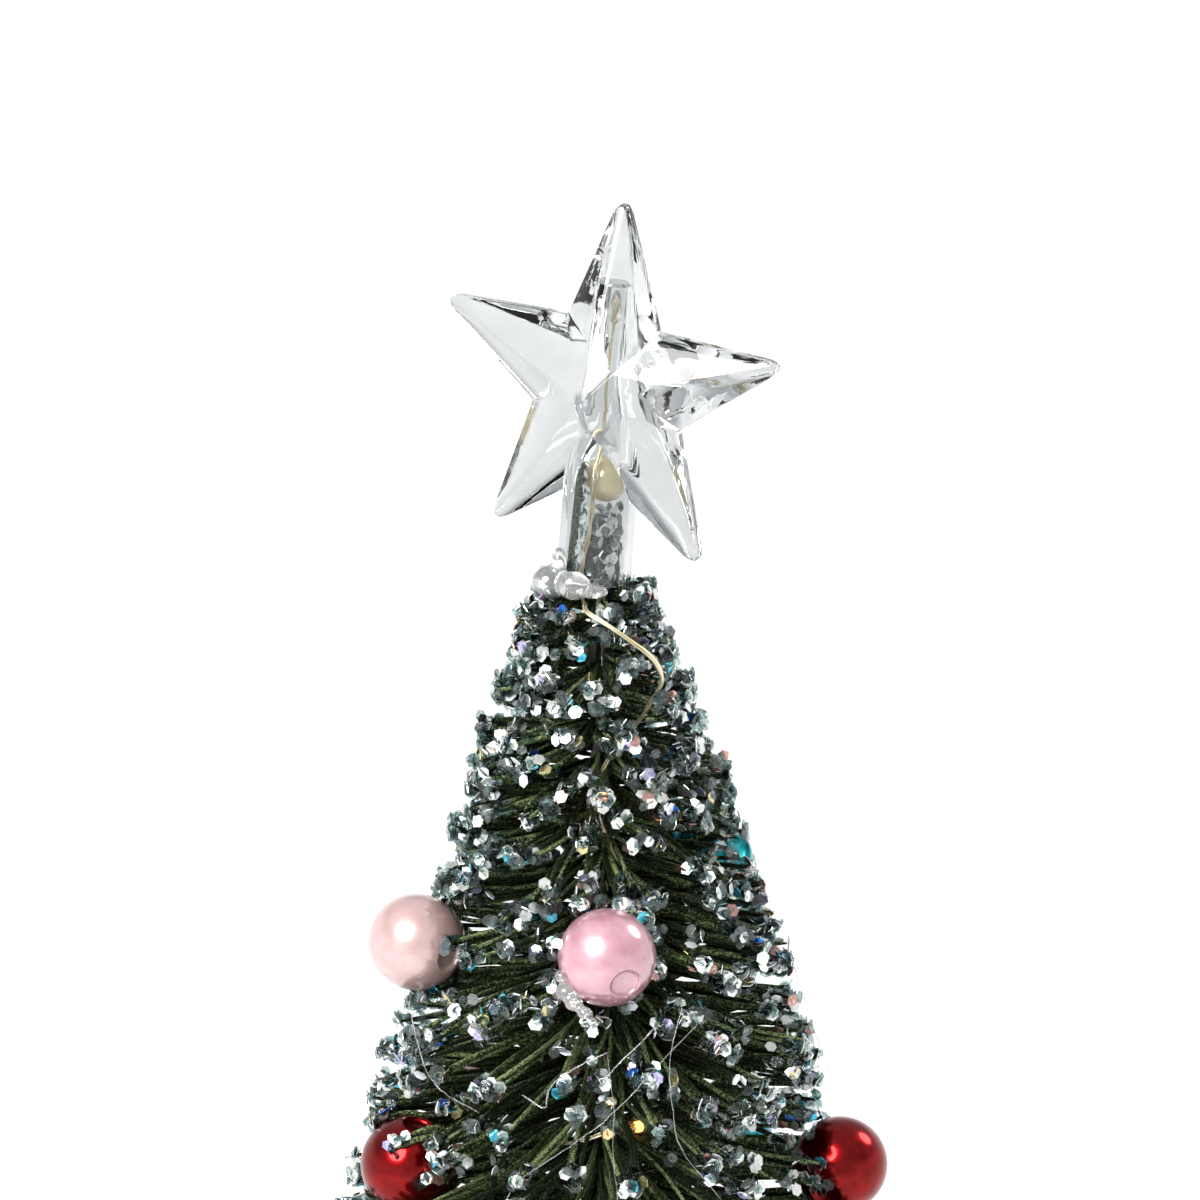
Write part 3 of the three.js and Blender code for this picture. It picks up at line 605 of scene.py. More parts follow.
def tip_paths(random):
    """The last bristles, inside the star's stem. A few reach up beside the cream pearl."""
    count, tall_count, steps = 46, 5, 10
    root_depth, twist = 3, 14
    column = (count, 1)
    tall = np.arange(count)[:, None] < tall_count
    azimuth = np.where(tall, random.uniform(-85, -55, column), random.uniform(0, 360, column))
    middle = np.sqrt(random.uniform(0.02, 1, column))
    spread = np.where(tall, 3.2, 2.6 * middle)
    low_top = TIP_LENGTH + 0.8 - 4 * middle * random.uniform(0.2, 1, column)
    top = np.where(tall, random.uniform(13, 16, column), low_top)
    share = np.linspace(0, 1, steps)[None, :]
    narrowing = np.where(tall, 0.03, 0.4)
    reach = spread * (1 - narrowing * share)
    height = -root_depth + (root_depth + top) * share
    lean = math.sin(STEM_LEAN) * height
    points = around(azimuth + twist * share, reach, BRUSH_TOP + height)
    points[..., 0] += STEM_FOOT_X + lean + np.where(tall, 0, 0.8)
    return points


def add_brush():
    """The brush, in bands of a workable size.

    Returns the last two points of each bristle, and the points of those in the stem.
    """
    random = np.random.default_rng(SEED)
    finish = bristle_finish()
    bands = 10
    bottom_gap, top_gap = 1, 0.5
    fewest_steps, step_length = 7, 2.4
    heights = np.linspace(BRUSH_BOTTOM + bottom_gap, BRUSH_TOP - top_gap, bands + 1)
    tips = []
    for band, (low, high) in enumerate(zip(heights, heights[1:])):
        middle_radius = brush_radius(BRUSH_TOP - (low + high) / 2)
        steps = fewest_steps + int(middle_radius / step_length)
        points = bristle_paths(low, high, steps, random)
        tips.append(points[:, [-2, -1]])
        name = f"bristles_{band + 1}"
        node = ("bristle_brush",) if band == 0 else ()
        piece(name, bristle_mesh(name, points, random), finish, slot="green_bristle", replaces=node)
    points = tip_paths(random)
    name = "bristles_in_stem"
    piece(name, bristle_mesh(name, points, random), finish, slot="green_bristle")
    return np.concatenate(tips), points


# ---- glitter ----

# Each finish of glitter: its share of the flakes on the tips, and two colours.
GLITTER = {
    "clear": (0.69, (96, 134, 132), (222, 238, 236)),
    "silver": (0.165, (206, 210, 204), (246, 248, 243)),
    "grey": (0.025, (96, 100, 104), (140, 142, 146)),
    "frost": (0.06, (226, 232, 236), (250, 251, 252)),
    "copper": (0.02, (176, 122, 110), (222, 182, 172)),
    "gold": (0.012, (206, 188, 120), (244, 234, 184)),
    "violet": (0.012, (150, 146, 190), (214, 206, 236)),
    "aqua": (0.012, (20, 150, 190), (120, 225, 240)),
    "blue": (0.004, (18, 70, 170), (60, 130, 220)),
}
FLAKE_RADIUS = 0.79
FLAKE_HALF_DEPTH = 0.045
STEM_GLITTER = {"clear": 0.3, "silver": 0.26, "frost": 0.26, "grey": 0.15, "aqua": 0.03}
STEM_FLAKES = 520


def glitter_finish(kind):
    """Cut film: clear, frosted or metallised."""
    _, dark, light = GLITTER[kind]
    sockets, rough_range = {"Metallic": 0.92}, (0.12, 0.3)
    if kind == "clear":
        sockets, rough_range = {"Transmission Weight": 1.0, "Roughness": 0.04, "IOR": 1.58}, None
    if kind == "frost":
        sockets, rough_range = {"Roughness": 0.3, "Coat Weight": 1.0, "Coat Roughness": 0.1}, None
    colours = [srgb(*dark), srgb(*light)]
    return finish_of("glitter_" + kind, colours, 0.8, (0.5, 0.015), sockets, rough_range=rough_range)


def flakes_mesh(name, centres, normals, random):
    """Hexagons of cut film, each with its own turn about its normal."""
    corners = 6
    count = len(centres)
    reach = FLAKE_RADIUS * random.uniform(0.88, 1.12, (count, 1, 1))
    side = unit(np.cross(normals, random.normal(size=(count, 3))))
    other = np.cross(normals, side)
    angles = np.arange(corners) * np.pi / 3
    cosine, sine = np.cos(angles)[None, :, None], np.sin(angles)[None, :, None]
    edge = centres[:, None] + reach * (cosine * side[:, None] + sine * other[:, None])
    top = edge + normals[:, None] * FLAKE_HALF_DEPTH
    bottom = edge - normals[:, None] * FLAKE_HALF_DEPTH
    points = np.concatenate([top, bottom], axis=1)
    ring = np.arange(corners)
    after = (ring + 1) % corners
    walls = np.stack([ring, ring + corners, after + corners, after], -1)
    faces = [ring[None, :], ring[None, ::-1] + corners, walls]
    mesh = mesh_of(name, points, repeated(faces, count, 2 * corners))
    mesh.polygons.foreach_set("use_smooth", np.zeros(len(mesh.polygons), bool))
    return mesh


def lumps_on(ends, backs, counts, lengths, random):
    """Flakes round the last few millimetres of bristles, most of them flat against the stalk."""
    farthest_out = 0.4
    end, back = np.repeat(ends, counts, axis=0), np.repeat(backs, counts, axis=0)
    length = np.repeat(lengths, counts)
    total = len(end)
    distance = random.uniform(-0.35, 1, total) * length
    outward = random.normal(size=(total, 3))
    outward = unit(outward - back * (outward * back).sum(-1, keepdims=True))
    gap = BRISTLE_RADIUS + random.uniform(0.05, 0.62, total)
    along = np.maximum(distance, -farthest_out)
    places = end + back * along[:, None] + outward * gap[:, None]
    at_end = (distance < 0.2)[:, None]
    normals = unit(np.where(at_end, -back, outward) + random.normal(0, 0.45, (total, 3)))
    return places, normals


def flakes_on_tips(tips, random):
    """Places and facings of the flakes on the bristles' ends. A few ends have none."""
    dipped_share, bead_gap, highest = 0.95, 0.12, 1.3
    inner, end = tips[:, 0], tips[:, 1]
    dipped = random.random(len(end)) < dipped_share
    inner, end = inner[dipped], end[dipped]
    counts = random.integers(4, 11, len(end))
    lengths = random.uniform(1.2, 3.8, len(end))
    places, normals = lumps_on(end, unit(inner - end), counts, lengths, random)
    kept = places[:, 2] < BRUSH_TOP + highest
    for centre in bead_centres():
        kept &= np.linalg.norm(places - centre, axis=1) > BEAD_RADIUS + bead_gap
    return places[kept], normals[kept]


def flakes_in_stem(stem_points, random):
    """Places and facings of the flakes in the star's stem, held within its bore."""
    lowest_step = 3
    which = random.integers(0, len(stem_points), STEM_FLAKES)
    step = random.integers(lowest_step, stem_points.shape[1], STEM_FLAKES)
    places = stem_points[which, step] + random.normal(0, 0.35, (STEM_FLAKES, 3))
    axis_x = STEM_FOOT_X + math.sin(STEM_LEAN) * (places[:, 2] - BRUSH_TOP)
    off_axis = places[:, :2] - np.stack([axis_x, 0 * axis_x], -1)
    reach = np.linalg.norm(off_axis, axis=1, keepdims=True)
    room = STEM_BORE - FLAKE_RADIUS
    places[:, :2] -= off_axis * np.maximum(0, 1 - room / np.maximum(reach, 0.1))
    outward = np.concatenate([off_axis, 0 * reach], -1)
    return places, unit(outward + random.normal(0, 0.5, (STEM_FLAKES, 3)))


def add_glitter(tips, stem_points):
    """The flakes, in pieces of one finish and of a workable size."""
    most = 6500
    random = np.random.default_rng(SEED + 1)
    on_tips, tip_normals = flakes_on_tips(tips, random)
    in_stem, stem_normals = flakes_in_stem(stem_points, random)
    places = np.concatenate([on_tips, in_stem])
    normals = np.concatenate([tip_normals, stem_normals])
    shares = [share for share, _, _ in GLITTER.values()]
    kinds = random.choice(list(GLITTER), len(places), p=shares)
    stem_kinds = random.choice(list(STEM_GLITTER), STEM_FLAKES, p=list(STEM_GLITTER.values()))
    kinds[-STEM_FLAKES:] = stem_kinds
    for kind in GLITTER:
        here = kinds == kind
        parts = math.ceil(here.sum() / most)
        finish = glitter_finish(kind)
        for i in range(parts):
            name = f"glitter_{kind}_{i + 1}"
            mesh = flakes_mesh(name, places[here][i::parts], normals[here][i::parts], random)
            piece(name, mesh, finish)


# ---- beads ----


BEAD_COLOURS = {
    "pink_pearl": [srgb(180, 122, 135), srgb(197, 150, 160)],
    "peach_pearl": [srgb(182, 147, 144), srgb(198, 167, 164)],
    "red_bead": [srgb(110, 1, 3), srgb(144, 5, 8)],
    "teal_bead": [srgb(10, 128, 138), srgb(28, 166, 174)],
}


def bead_finish(kind):
    """Pearl lacquer or candy-metal lacquer, both under a clear coat."""
    colours = BEAD_COLOURS[kind]
    if kind.endswith("pearl"):
        sockets = {"Metallic": 0.35, "Coat Weight": 1.0, "Coat Roughness": 0.08, "Coat IOR": 2.2}
        return finish_of(kind, colours, 2.2, (0.12, 0.004), sockets, rough_range=(0.28, 0.36))
    sockets = {"Metallic": 0.95, "Coat Weight": 0.3, "Coat Roughness": 0.03}
    return finish_of(kind, colours, 1.5, (0.1, 0.004), sockets, rough_range=(0.2, 0.28))


# Which way each of the first beads' holes faces, as azimuth and tilt.
BEAD_HOLES = {
    "pink_pearl_1": (24, -16), "peach_pearl_1": (46, -4), "teal_bead_1": (60, 30),
    "red_bead_1": (160, 20), "red_bead_2": (60, 75),
}


def drilled_ball():
    """A ball with its hole's two mouths, each plugged by lacquer a little below the surface."""
    mouth_radius, lip, dimple = BEAD_HOLE_RADIUS - 0.1, 0.25, 0.45
    mouth_angle = math.asin((mouth_radius + lip) / BEAD_RADIUS)
    angles = np.linspace(mouth_angle, math.pi - mouth_angle, 41)
    ball = [[BEAD_RADIUS * math.sin(a), -BEAD_RADIUS * math.cos(a)] for a in angles]
    mouth = BEAD_RADIUS * math.cos(mouth_angle)
    floor = mouth - dimple
    dip = [
        [0, floor], [mouth_radius - 0.4, floor], [mouth_radius - 0.1, floor + 0.1],
        [mouth_radius, floor + 0.35], [mouth_radius + 0.04, mouth - 0.18],
    ]
    low = [[radius, -height] for radius, height in dip]
    return turned_solid(low + ball + dip[::-1], 56)


def add_beads():
    """The lacquered beads. Holes not in BEAD_HOLES face ways of their own."""
    finishes = {kind: bead_finish(kind) for kind in BEAD_KINDS}
    ball, faces = drilled_ball()
    for i, (name, centre) in enumerate(zip(BEADS, bead_centres())):
        kind = name.rsplit("_", 1)[0]
        azimuth = math.degrees(math.atan2(centre[0], -centre[1]))
        own_way = (azimuth + 35 + 41 * i, 25 - 9 * (i % 6))
        hole_azimuth, tilt = BEAD_HOLES.get(name, own_way)
        points = placed(ball, towards(direction_of(hole_azimuth, tilt), Vector(centre)))
        shape(name + "_lacquered", points, faces, finishes[kind], 60, slot=kind, replaces=(name,))


# ---- star ----


def baked(made):
    """Applies an object's modifiers to its mesh."""
    graph = bpy.context.evaluated_depsgraph_get()
    mesh = bpy.data.meshes.new_from_object(made.evaluated_get(graph))
    made.modifiers.clear()
    made.data = mesh
    return made


def scratch(name, points, faces):
    """A working object, which is changed or used as a tool and then removed."""
    return added(name, mesh_of(name, points, faces))


def combine(body, tool, operation):
    """Joins a tool to a body, or cuts it from it, and removes the tool."""
    step = body.modifiers.new(operation, "BOOLEAN")
    step.operation = operation
    step.solver = "EXACT"
    step.object = tool
    baked(body)
    bpy.data.objects.remove(tool)


def mesh_alone(made):
    """Removes a working object and keeps its mesh."""
    mesh = made.data
    bpy.data.objects.remove(made)
    return mesh


def star_shape():
    """The faceted star, its edges a little rounded as a mould leaves them."""
    radius, notch, half_depth, rim, tip_round = 23.4, 10.4, 7.5, 1.4, 1.1
    outline = []
    for arm in range(5):
        tip = 2 * math.pi * arm / 5
        for share in (-1, -0.5, 0, 0.5, 1):
            turn = tip + share * tip_round / radius
            reach = radius - tip_round * share * share
            outline.append((reach * math.sin(turn), reach * math.cos(turn)))
        turn = tip + math.pi / 5
        outline.append((notch * math.sin(turn), notch * math.cos(turn)))
    count = len(outline)
    front = [(x, -rim / 2, z) for x, z in outline]
    back = [(x, rim / 2, z) for x, z in outline]
    points = front + back + [(0, -half_depth, 0), (0, half_depth, 0)]
    ring = np.arange(count)
    after = (ring + 1) % count
    peak = np.full(count, 2 * count)
    faces = [
        np.stack([peak, after, ring], -1),
        np.stack([ring + count, after + count, peak + 1], -1),
        np.stack([after, after + count, ring + count, ring], -1),
    ]
    made = scratch("star", points, faces)
    bevel = made.modifiers.new("edges", "BEVEL")
    bevel.width = 0.35 * MM
    bevel.segments = 3
    bevel.limit_method = "ANGLE"
    bevel.angle_limit = math.radians(20)
    return baked(made)


def add_star():
    """The clear star on its hollow stem, with the narrow hole of the moulding pin."""
    rounding, stem_top, past_end = 0.25, -1, 2
    bore_top, pin_foot, pin_top = -9.5, 2.3, 13.5
    clear = finish_of(
        "clear_acrylic", [srgb(212, 215, 216), srgb(227, 229, 229)], 6, (3.5, 0.03),
        {"Transmission Weight": 1.0, "Roughness": 0.0, "IOR": 1.49},
    )
    star = star_shape()
    stem = [
        [0, -STEM_LENGTH], [STEM_RADIUS - rounding, -STEM_LENGTH],
        [STEM_RADIUS, -STEM_LENGTH + rounding], [STEM_RADIUS, -4], [3, stem_top], [0, stem_top],
    ]
    combine(star, scratch("stem", *turned_solid(stem, 64)), "UNION")
    bore = [
        [0, -STEM_LENGTH - past_end], [STEM_BORE, -STEM_LENGTH - past_end], [STEM_BORE, bore_top],
        [1.9, pin_foot], [1.6, pin_top - 0.3], [1.2, pin_top], [0, pin_top],
    ]
    combine(star, scratch("bore", *turned_solid(bore, 48)), "DIFFERENCE")
    mesh = mesh_alone(star)
    place = STAR_PLACE.copy()
    place.translation *= MM
    mesh.transform(place)
    for polygon in mesh.polygons:
        polygon.use_smooth = True
    mesh.set_sharp_from_angle(angle=math.radians(24))
    piece("star_clear", mesh, clear, slot="clear_plastic", replaces=("star_topper",))


def add_cream_pearl():
    radius = 2.9
    points, faces = turned_solid(ball_outline(radius, 25), 40)
    cream = finish_of(
        "cream_lacquer", [srgb(238, 214, 150), srgb(250, 234, 184)], 1.6, (0.12, 0.004),
        {"Coat Weight": 1.0, "Coat Roughness": 0.05, "Coat IOR": 2.0, "Metallic": 0.2},
        rough_range=(0.25, 0.35),
    )
    node = "cream_pearl"
    points = points + np.array(middle_of(node))
    shape("cream_pearl_lacquered", points, faces, cream, slot="cream_pearl", replaces=(node,))


# ---- string of lights ----

# The wire's route, as in the part's source. Heights in the first part are from the brush's shoulder.
LED_FROM_TOP = [
    (2, 0, 35.5), (1.45, -0.2, 29), (1.1, -0.4, 24.5), (0.65, -0.8, 19.5),
    (-0.3, -2.3, 15.8), (-0.7, -3.05, 12.8), (-1.2, -2.8, 7.5), (-2, -2.3, 3.4),
    (-2.1, -2.4, 0.8), (-2.1, -3.5, -0.7), (-1.9, -6.4, -0.7), (-1.6, -9.2, -0.9), (1.8, -11, -2.6),
    (6.1, -10.7, -5.9), (7.5, -9.8, -8.8), (7, -8.2, -11.4), (4.6, -6, -16.1),
    (1.4, -6.3, -20.2), (-0.5, -6.8, -24.8), (0.2, -7, -29), (1.8, -6.8, -33),
    (4.4, -5.5, -37.5), (6.6, -2.6, -41), (6.9, 1.6, -44), (4.6, 5.4, -47),
    (0, 7, -50), (-4.8, 5.2, -53), (-7, 1, -57), (-7.2, -2.2, -64),
    (-6.2, -4.4, -71), (-3, -6.8, -71), (1.4, -7.1, -69.4), (5.4, -5, -69.5),
]
LED_HELIX_TURNS = 5.25
LED_HELIX_RADIUS = 7


LED_STEP = 0.6


def led_route():
    """The wire from the lamp in the star, down round the core to the board."""
    steps, in_sleeve = 42, 2.55
    points = [(x, y, BRUSH_TOP + z) for x, y, z in LED_FROM_TOP]
    share = np.linspace(0, 1, steps + 1)
    start, end = BRUSH_TOP - 70.5, BRUSH_BOTTOM + 8.5
    azimuth = 90 + 360 * LED_HELIX_TURNS * share
    helix = around(azimuth, LED_HELIX_RADIUS, start + share * (end - start))
    to_board = [
        (0, 4.6, BRUSH_BOTTOM + 4), (0, in_sleeve, BRUSH_BOTTOM - 1), (0, in_sleeve, 32),
        (0, in_sleeve, 24), (0, in_sleeve, 20.6), (0.2, 4, 18.6), (1.5, 11, 18.4),
        (3.2, 20, 17.6), (3.6, 23.4, 14.6),
    ]
    return smooth_path(np.concatenate([points, helix, to_board]), LED_STEP)


def add_strands(route, along):
    """Three lacquered strands, twisted round each other now closer and now looser."""
    strand_radius, twist_length = 0.12, 17
    side = unit(np.cross(along, [0.2, 0.3, 1.0]))
    other = np.cross(along, side)
    length = LED_STEP * np.arange(len(route))
    turn = 2 * np.pi * length / twist_length + 0.8 * np.sin(length / 5)
    strands = []
    for phase in (0, 2.1, 4.2):
        spread = 0.18 + 0.07 * np.sin(length / 3 + phase)
        across = np.cos(turn + phase)[:, None] * side + np.sin(turn + phase)[:, None] * other
        strands.append(tube(route + spread[:, None] * across, strand_radius, 6))
    brass = finish_of(
        "champagne_lacquer", [srgb(206, 192, 148), srgb(246, 238, 208)], 3, None,
        {"Metallic": 0.9}, rough_range=(0.24, 0.36),
    )
    shape("led_strands", *merged(strands), brass, slot="champagne_wire", replaces=("led_wire",))


def add_lamps(route, along):
    """A drop of resin over each lamp's chip. All but the one in the star are lit."""
    drop_radius, drop_half_length, waist = 1.15, 2.1, 0.12
    resin = finish_of(
        "light_resin", [srgb(255, 247, 232), srgb(255, 252, 246)], 0.8, (0.4, 0.02),
        {"Transmission Weight": 0.95, "Roughness": 0.05, "IOR": 1.5},
    )
    lit = finish_of(
        "lit_chip", [srgb(240, 200, 130), srgb(250, 224, 160)], 0.3, None,
        {"Emission Color": srgb(255, 176, 84), "Emission Strength": 5, "Roughness": 0.4},
    )
    pale_colours = [srgb(232, 224, 196), srgb(244, 240, 222)]
    pale = finish_of("pale_chip", pale_colours, 0.3, None, {"Roughness": 0.4})
    drop_outline = []
    for a in np.linspace(0, math.pi, 17):
        radius = drop_radius * math.sin(a) * (1 + waist * math.cos(3 * a))
        drop_outline.append([radius, -drop_half_length * math.cos(a)])
    drop = turned_solid(drop_outline, 20)
    chip = turned_solid([[0, -0.5], [0.35, -0.5], [0.42, -0.42], [0.42, 0.42], [0.35, 0.5], [0, 0.5]], 8)
    for i in range(LAMP_COUNT):
        name = f"light_drop_{i + 1}"
        centre = middle_of(name)
        nearest = int(np.linalg.norm(route - np.array(centre), axis=1).argmin())
        place = towards(along[nearest], centre)
        points = placed(drop[0], place)
        shape(name + "_resin", points, drop[1], resin, slot="light_resin", replaces=(name,))
        chip_finish = pale if centre.z > BRUSH_TOP else lit
        shape(name + "_chip", placed(chip[0], place), chip[1], chip_finish, 40, slot="light_resin")


def add_lights():
    route = led_route()
    along = unit(np.gradient(route, axis=0))
    add_strands(route, along)
    add_lamps(route, along)


# ---- glue ----


def glue_finish():
    coat = {"Coat Weight": 0.6, "Coat Roughness": 0.02}
    return finish_of(
        "hot_glue", [srgb(228, 230, 230), srgb(250, 250, 247)], 1.5, (1.6, 0.03),
        {"Transmission Weight": 0.86, "Roughness": 0.03, "IOR": 1.45, **coat},
    )


def blob(name, lumps, keep_out=None):
    """Lumps of glue that run together: ellipsoids as (centre, half sizes), remeshed and smoothed."""
    points, faces = turned_solid(ball_outline(1, 13), 20)
    parts = [(points * np.array(sizes) + np.array(centre), faces) for centre, sizes in lumps]
    made = scratch(name, *merged(parts))
    remesh = made.modifiers.new("run", "REMESH")
    remesh.mode = "VOXEL"
    remesh.voxel_size = 0.22 * MM
    soften = made.modifiers.new("soften", "SMOOTH")
    soften.iterations = 14
    mesh = mesh_alone(baked(made))
    if keep_out:
        for vertex in mesh.vertices:
            vertex.co = keep_out(vertex.co / MM) * MM
    for polygon in mesh.polygons:
        polygon.use_smooth = True
    return mesh


def outside_stem(point):
    """Moves a point that is inside the star's stem out to the stem's wall."""
    wall = STEM_RADIUS + 0.04
    local = STAR_PLACE.inverted() @ point
    reach = math.hypot(local.x, local.y)
    if reach >= wall or local.z < -STEM_LENGTH:
        return point
    grow = wall / max(reach, 0.01)
    return STAR_PLACE @ Vector((local.x * grow, local.y * grow, local.z))


def add_star_glue(finish):
    """The glue that holds the star, in lumps on the left. One runs up the stem."""
    lumps = [
        ((-6.1, -2.8, BRUSH_TOP + 0.9), (2.3, 2.3, 2.1)),
        ((-5.0, -2.6, BRUSH_TOP + 2.8), (1.1, 1.5, 2.6)),
        ((-3.2, -4.8, BRUSH_TOP + 1.1), (2.1, 1.7, 1.8)),
        ((-0.8, -5.4, BRUSH_TOP + 0.5), (1.9, 1.0, 0.9)),
        ((-5.4, 1.4, BRUSH_TOP + 0.4), (1.4, 2.6, 1.0)),
    ]
    mesh = blob("star_glue", lumps, outside_stem)
    piece("star_glue", mesh, finish, slot="hot_glue", replaces=("star_glue_bead",))


def glue_string(ends, thickness, random):
    """A hair of glue through points given as (azimuth, distance below the shoulder)."""
    off_brush, step = 1.3, 0.7
    marks = []
    for azimuth, below in ends:
        marks.append(around(azimuth, brush_radius(below) + off_brush, BRUSH_TOP - below))
    path = smooth_path(marks, step)
    share = np.linspace(0, 1, len(path))
    wander = np.cumsum(random.normal(0, 0.06, path.shape), axis=0)
    path = path + wander * np.sin(np.pi * share)[:, None]
    swelling = 0.55 + 0.45 * np.sin(4 * np.pi * share) ** 2
    radii = thickness * swelling * random.uniform(0.8, 1.2, len(path))
    return tube(path, radii, 5)


# Hairs of glue that stand out at the front, as (azimuth, below) points and a radius.
FRONT_HAIRS = [
    ([(2, 51.5), (-7, 53.5), (-13, 56), (-14, 58.5), (-20, 57)], 0.13),
    ([(2, 51.5), (3, 58), (3, 64), (4, 72)], 0.06),
    ([(15, 49), (8, 52), (0, 55.5)], 0.12),
    ([(29, 49), (14, 54), (0, 60), (-19, 67)], 0.07),
    ([(24, 47), (19, 52), (18, 58), (19, 63), (28, 70)], 0.07),
    ([(75, 46), (78, 53), (79, 58), (80, 64)], 0.07),
    ([(-66, 51), (-55, 55), (-45, 58), (-31, 60)], 0.07),
    ([(-84, 45), (-92, 47), (-88, 49), (-80, 51)], 0.05),
]


def add_glue_hairs(finish):
    """The hairs of glue at the front, and more scattered over the lower tree."""
    scattered, lowest = 34, 184
    random = np.random.default_rng(SEED + 2)
    parts = [glue_string(ends, thickness, random) for ends, thickness in FRONT_HAIRS]
    for _ in range(scattered):
        azimuth, below = random.uniform(0, 360), random.uniform(62, 180)
        ends = [(azimuth, below)]
        for _ in range(random.integers(2, 4)):
            azimuth += random.normal(0, 260 / brush_radius(below))
            below = min(lowest, below + random.uniform(1, 8))
            ends.append((azimuth, below))
        parts.append(glue_string(ends, random.uniform(0.04, 0.09), random))
    shape("glue_hairs", *merged(parts), finish, slot="hot_glue")


def add_pearl_glue(finish):
    """The glue under the front pearl, in lumps along its lower left edge."""
    reach = 5.4
    pearl = bead_centres()[BEADS.index("pink_pearl_1")]
    lumps = []
    for azimuth, drop, size in ((-64, 3.6, 1.5), (-48, 4.6, 1.2), (-84, 2.2, 1.1), (-30, 5.4, 1.0)):
        lumps.append((pearl + around(azimuth, reach, -drop), (size, size * 0.9, size * 0.8)))
    piece("pearl_glue", blob("pearl_glue", lumps), finish, slot="hot_glue")


def add_glue():
    finish = glue_finish()
    add_star_glue(finish)
    add_glue_hairs(finish)
    add_pearl_glue(finish)


# ---- trunk and base ----


def block_tool(low, high):
    """A box to cut with, between two corners."""
    corners = [[x, y, z] for z in (low[2], high[2]) for y in (low[1], high[1]) for x in (low[0], high[0])]
    faces = [[0, 2, 3, 1], [4, 5, 7, 6], [0, 1, 5, 4], [2, 6, 7, 3], [0, 4, 6, 2], [1, 3, 7, 5]]
    return scratch("block", np.array(corners, float), [np.array(faces)])


def arc(middle, radius, start, end, steps):
    """Points of an arc in an outline, between two angles in degrees."""
    angles = np.radians(np.linspace(start, end, steps + 1))
    return [[middle[0] + radius * math.cos(a), middle[1] + radius * math.sin(a)] for a in angles]


def add_wooden_base():
    """The turned base: an eased foot, a cove and a rounded top, bored for the tray, sleeve and switch."""
    shelf_radius, tray_radius, sleeve_radius = 36.4, 32, 4.8
    foot_and_rim = [*arc((37.1, 2.9), 0.9, -90, 0, 5), *arc((37.2, 17.2), 0.8, 0, 90, 5)]
    cove = [*arc((36, 24), 6, -90, -180, 14)[1:], [30, 24.4], [30.2, 24.6]]
    rounded_top = arc((27, 25), 3.2, 0, 90, 10)
    outline = [
        [shelf_radius, 2], *foot_and_rim, *cove, *rounded_top, [sleeve_radius, 28.2],
        [sleeve_radius, 20], [tray_radius, 20], [tray_radius, 5.3], [shelf_radius, 5.3],
    ]
    faces = [grid_faces(len(outline), 128, closed_rows=True)]
    base = scratch("wooden_base_turned", turned(outline, 128), faces)
    bezel_recess = (-10.4, 36, 7), (10.4, 40, 17)
    switch_opening = (-4.5, 28, 9.6), (4.5, 38, 14.4)
    for low, high in (bezel_recess, switch_opening):
        combine(base, block_tool(low, high), "DIFFERENCE")
    screw_reach = 34
    pilot_hole = [[0, 4], [1.4, 4], [1.4, 13.4], [0, 13.4]]
    for angle in (-90, 30, 150):
        x = screw_reach * math.cos(math.radians(angle))
        y = screw_reach * math.sin(math.radians(angle))
        points, faces = turned_solid(pilot_hole, 24)
        combine(base, scratch("pilot", points + [x, y, 0], faces), "DIFFERENCE")
    mesh = mesh_alone(base)
    mesh.set_sharp_from_angle(angle=math.radians(35))
    wood = finish_of(
        "turned_wood", [srgb(158, 112, 70), srgb(176, 130, 84), srgb(190, 146, 98)], 1.2, (0.4, 0.02),
        {"Coat Weight": 0.15}, stretch=(1, 0.05, 0.5), rough_range=(0.42, 0.6),
    )
    piece("wooden_base_turned", mesh, wood, slot="turned_wood", replaces=("wooden_base",))


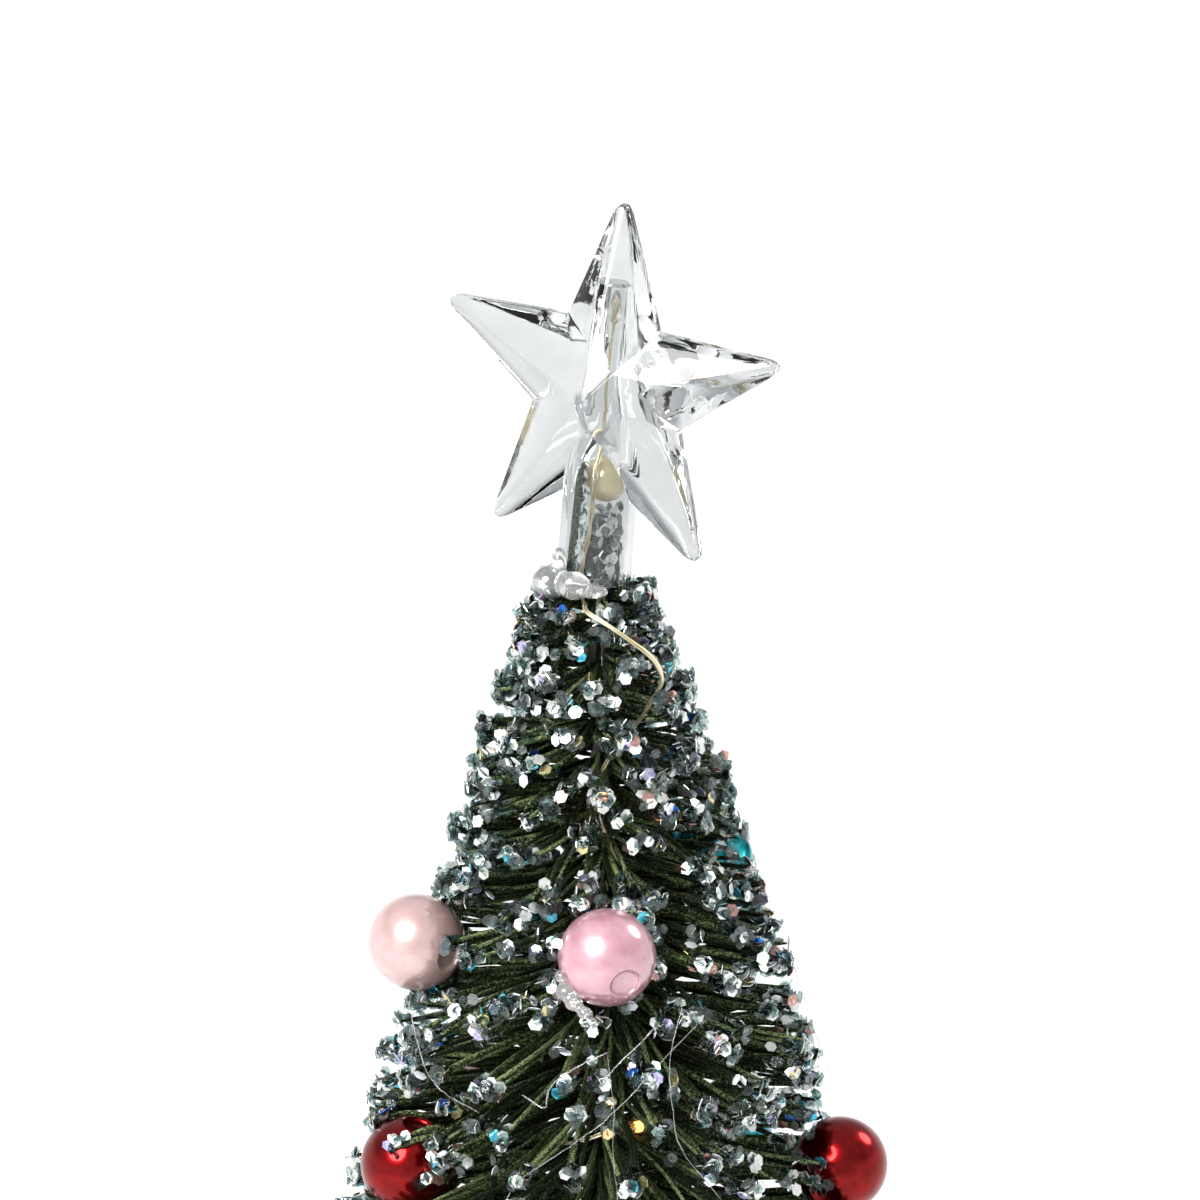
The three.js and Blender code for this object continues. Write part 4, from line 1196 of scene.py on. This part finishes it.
# Finishes of the CAD nodes shown as they are: the name, the starts of the nodes' names, two colours,
# the grain, the bump, the range of roughness and other values on the shader.
CASE_NODES = ("battery_tray", "battery_door", "switch_body", "switch_bezel")
CAD_FINISHES = [
    ("core_steel", ("core_wire",), (84, 88, 78), (128, 130, 118), 0.6, (0.2, 0.01), (0.35, 0.5),
     {"Metallic": 0.9}),
    ("stained_wood", ("trunk_sleeve",), (66, 44, 28), (104, 74, 48), 1.0, (0.5, 0.04), (0.45, 0.6),
     {"Coat Weight": 0.1}),
    ("black_plastic", CASE_NODES, (24, 24, 26), (36, 36, 38), 0.5, (0.25, 0.02), (0.42, 0.55), {}),
    ("white_plastic", ("switch_slider",), (226, 225, 220), (238, 237, 233), 1, (0.3, 0.01),
     (0.35, 0.45), {}),
    ("screw_steel", ("tray_screw",), (130, 132, 134), (176, 178, 180), 0.6, (0.3, 0.01),
     (0.28, 0.42), {"Metallic": 1.0}),
    ("cell_sleeve", ("battery",), (34, 96, 66), (52, 122, 84), 3, (0.4, 0.01), (0.28, 0.4),
     {"Metallic": 0.3, "Coat Weight": 0.6}),
    ("nickel", ("contact",), (186, 186, 180), (214, 214, 208), 1, (0.3, 0.01), (0.18, 0.3),
     {"Metallic": 1.0}),
    ("board_green", ("circuit_board",), (22, 78, 48), (36, 104, 66), 0.8, (0.3, 0.01), (0.35, 0.5),
     {"Coat Weight": 0.5}),
    ("resistor_tan", ("series_resistor",), (196, 170, 124), (218, 196, 152), 0.6, (0.3, 0.01),
     (0.4, 0.55), {}),
    ("red_lead", ("red_lead",), (150, 22, 22), (190, 34, 32), 0.8, None, (0.35, 0.5), {}),
    ("black_lead", ("black_lead",), (18, 18, 20), (34, 34, 36), 0.8, None, (0.35, 0.5), {}),
    ("foot_rubber", ("foot",), (30, 30, 30), (46, 46, 46), 0.4, (0.2, 0.03), (0.75, 0.92), {}),
]
GRAIN_STRETCH = {"stained_wood": (1, 1, 0.12)}


def add_carried_over():
    """Materials for the CAD nodes shown as they are. The longest start that fits wins."""
    finishes = {}
    for name, starts, dark, light, grain, bump, rough_range, sockets in CAD_FINISHES:
        stretch = GRAIN_STRETCH.get(name, (1, 1, 1))
        colours = [srgb(*dark), srgb(*light)]
        made = finish_of(name, colours, grain, bump, sockets, stretch=stretch, rough_range=rough_range)
        finishes.update({start: made for start in starts})
    for name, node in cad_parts.items():
        if node.hide_render:
            continue
        matches = [start for start in finishes if name.startswith(start)]
        node.data.materials.clear()
        node.data.materials.append(finishes[max(matches, key=len)])


add_stage()
bristle_tips, stem_bristles = add_brush()
add_glitter(bristle_tips, stem_bristles)
add_beads()
add_star()
add_cream_pearl()
add_lights()
add_glue()
add_wooden_base()
add_carried_over()
